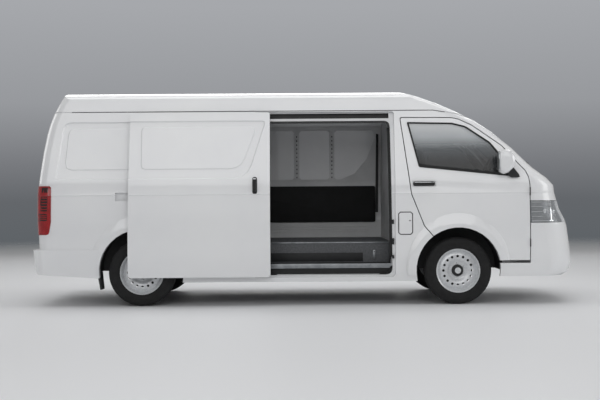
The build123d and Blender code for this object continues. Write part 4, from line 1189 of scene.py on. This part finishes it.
# Door locks and strikers on the pillar, lock of the charging flap, contact pins in its socket
smallMetal = {
    "strikers": [(841, 790, 832), (841, 590, 650), (841, 452, 486)],
    "strikerY": (-916, -896),
    # x, z, radius
    "flapLock": (1003, 823, 9),
    "flapFace": -947.5,
    "pins": 6,
    "pinRing": 15,
    "pinFace": -893,
}


def makeSmallMetal():
    spec = smallMetal
    bm = bmesh.new()
    for x, z0, z1 in spec["strikers"]:
        boxAt(bm, (x - 10, spec["strikerY"][0], z0), (x + 10, spec["strikerY"][1], z1), 3)
    setPiece(bm, "door_strikers", "mouldedBlack", "body", "dark_trim")
    x, z, radius = spec["flapLock"]
    bm = bmesh.new()
    outward = Matrix.Rotation(radians(90), 4, "X")
    place = (x * mm, spec["flapFace"] * mm, z * mm)
    plugAt(bm, 24, radius, radius * 0.86, 5, Matrix.Translation(place) @ outward)
    setPiece(bm, "flap_lock", "chromePlate", bodyOf["charge_flap"], "wheel_silver")
    low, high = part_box("charge_socket")
    bm = bmesh.new()
    for pin in range(spec["pins"] + 1):
        turn = 2 * pi * pin / spec["pins"]
        reach = spec["pinRing"] * mm if pin < spec["pins"] else 0
        x, z = (low.x + high.x) / 2 + reach * cos(turn), (low.z + high.z) / 2 + reach * sin(turn)
        plugAt(bm, 16, 2.4, 1.8, 14, Matrix.Translation((x, spec["pinFace"] * mm, z)) @ outward)
    setPiece(bm, "charge_pins", "chromePlate", "body", "wheel_silver")


# Steering wheel: padded rim, three spokes and a boss
steering = {
    "place": (1985, 400, 1330),
    "tilt": 65,
    "ring": 186,
    "bar": 14,
    "spokes": [90, 210, 330],
    "spokeSize": (150, 34, 14),
    "spokeMiddle": (108, 0, 4),
    # sides, radius at the foot and at the head, depth, place along the column
    "plugs": [(32, 55, 48, 30, -2), (24, 30, 30, 140, 80)],
}


def makeSteeringWheel():
    spec = steering
    bm = bmesh.new()
    rim = bmesh.ops.create_circle(bm, cap_ends=False, segments=16, radius=spec["bar"] * mm)["verts"]
    bmesh.ops.rotate(bm, verts=rim, cent=(0, 0, 0), matrix=Matrix.Rotation(radians(90), 3, "X"))
    bmesh.ops.translate(bm, vec=(spec["ring"] * mm, 0, 0), verts=rim)
    spinRound(bm, bm.verts[:] + bm.edges[:], (0, 0, 1), 64)
    bmesh.ops.remove_doubles(bm, verts=bm.verts, dist=0.01 * mm)
    for turn in spec["spokes"]:
        made = bmesh.ops.create_cube(bm, size=1.0)["verts"]
        bmesh.ops.scale(bm, vec=Vector(spec["spokeSize"]) * mm, verts=made)
        bmesh.ops.translate(bm, vec=Vector(spec["spokeMiddle"]) * mm, verts=made)
        bmesh.ops.rotate(bm, verts=made, cent=(0, 0, 0), matrix=Matrix.Rotation(radians(turn), 3, "Z"))
    for sides, foot, head, depth, along in spec["plugs"]:
        plugAt(bm, sides, foot, head, depth, Matrix.Translation((0, 0, along * mm)))
    tilt = radians(spec["tilt"])
    away = Vector((sin(tilt), 0, -cos(tilt)))
    across = Vector((0, 1, 0))
    up = away.cross(across)
    turn = Matrix((across, up, away)).transposed().to_4x4()
    place = Matrix.Translation(Vector(spec["place"]) * mm)
    bmesh.ops.transform(bm, matrix=place @ turn, verts=bm.verts)
    setPiece(bm, "steering_rim", "mouldedBlack", "body", "dark_trim", 35, ["steering_wheel"])


# Seats: each pad starts a little small, swells under pressure and is then smoothed
seatPads = {
    # name, low corner, high corner, lean in degrees, rounding of the corners
    "pads": [
        ("cushion", (1190, -230, 826), (1690, 230, 940), 0, 40),
        ("back", (1186, -225, 940), (1290, 225, 1550), -12, 36),
        ("rest", (1066, -110, 1556), (1136, 110, 1690), 0, 26),
    ],
    "middles": {"right": -430, "left": 430},
    "voxel": 6,
    "pressure": 3.5,
    "cap": 9,
    "steps": 20,
    "fill": 0.85,
}


def makePad(name, low, high, lean, corner):
    bm = bmesh.new()
    boxAt(bm, low, high, corner, 4)
    if lean:
        foot = Vector(((low[0] + high[0]) / 2 * mm, 0, low[2] * mm))
        bmesh.ops.rotate(bm, verts=bm.verts, cent=foot, matrix=Matrix.Rotation(radians(lean), 3, "Y"))
    mesh = bpy.data.meshes.new(name)
    bm.to_mesh(mesh)
    bm.free()
    pad = bpy.data.objects.new(name, mesh)
    bpy.context.scene.collection.objects.link(pad)
    remesh = pad.modifiers.new("evenGrid", "REMESH")
    remesh.mode = "VOXEL"
    remesh.voxel_size = seatPads["voxel"] * mm
    graph = bpy.context.evaluated_depsgraph_get()
    grid = bpy.data.meshes.new_from_object(pad.evaluated_get(graph))
    pad.modifiers.clear()
    pad.data = grid
    start = [vert.co.copy() for vert in grid.vertices]
    cloth = pad.modifiers.new("swell", "CLOTH")
    cloth.settings.use_pressure = True
    cloth.settings.uniform_pressure_force = seatPads["pressure"]
    cloth.settings.effector_weights.gravity = 0
    cloth.settings.quality = 4
    cloth.point_cache.frame_start = 1
    cloth.point_cache.frame_end = seatPads["steps"]
    for step in range(1, seatPads["steps"] + 1):
        bpy.context.scene.frame_set(step)
    swollen = bpy.data.meshes.new_from_object(pad.evaluated_get(bpy.context.evaluated_depsgraph_get()))
    pad.modifiers.clear()
    pad.data = swollen
    most = seatPads["cap"] * mm
    for vert, before in zip(swollen.vertices, start):
        move = vert.co - before
        if move.length > most:
            vert.co = before + move.normalized() * most
    bpy.context.scene.frame_set(1)
    return pad


def makeSeats():
    stands = ["seats"]
    for name, low, high, lean, corner in seatPads["pads"]:
        pad = makePad("seat_" + name, low, high, lean, corner)
        shape = pad.data
        bpy.data.objects.remove(pad)
        for side, y in seatPads["middles"].items():
            bm = bmesh.new()
            bm.from_mesh(shape)
            bmesh.ops.translate(bm, vec=(0, y * mm, 0), verts=bm.verts)
            bmesh.ops.subdivide_edges(bm, edges=bm.edges[:], cuts=1, smooth=1.0, use_grid_fill=True)
            bmesh.ops.smooth_vert(
                bm, verts=bm.verts, factor=0.5, use_axis_x=True, use_axis_y=True, use_axis_z=True
            )
            piece = setPiece(bm, "seat_" + name + "_" + side, "seatCloth", "body", "seat_fabric", 80, stands)
            stands = ()


makePanels()
print("panels welded and smoothed")
makeWindowSeals()
makeDoorwaySeals()
makeStepTread()
print("seals and tread laid")
makeTyres()
makeWheels()
makeBrakes()
print("wheels and tyres turned")
makeDripShadeStrips()
makeHandles()
makeTailLamps()
makeHeadlamps()
makeMirrorGlass()
makeSmallMetal()
print("handles, lamps and mirrors fitted")
makeLeftWall()
makeFloorRibs()
makeSteeringWheel()
makeSeats()
print("load space and cab furnished")
makeFrontDetails()
makeRearDetails()
makeWindscreenDetails()
print("nose and tail details fitted")
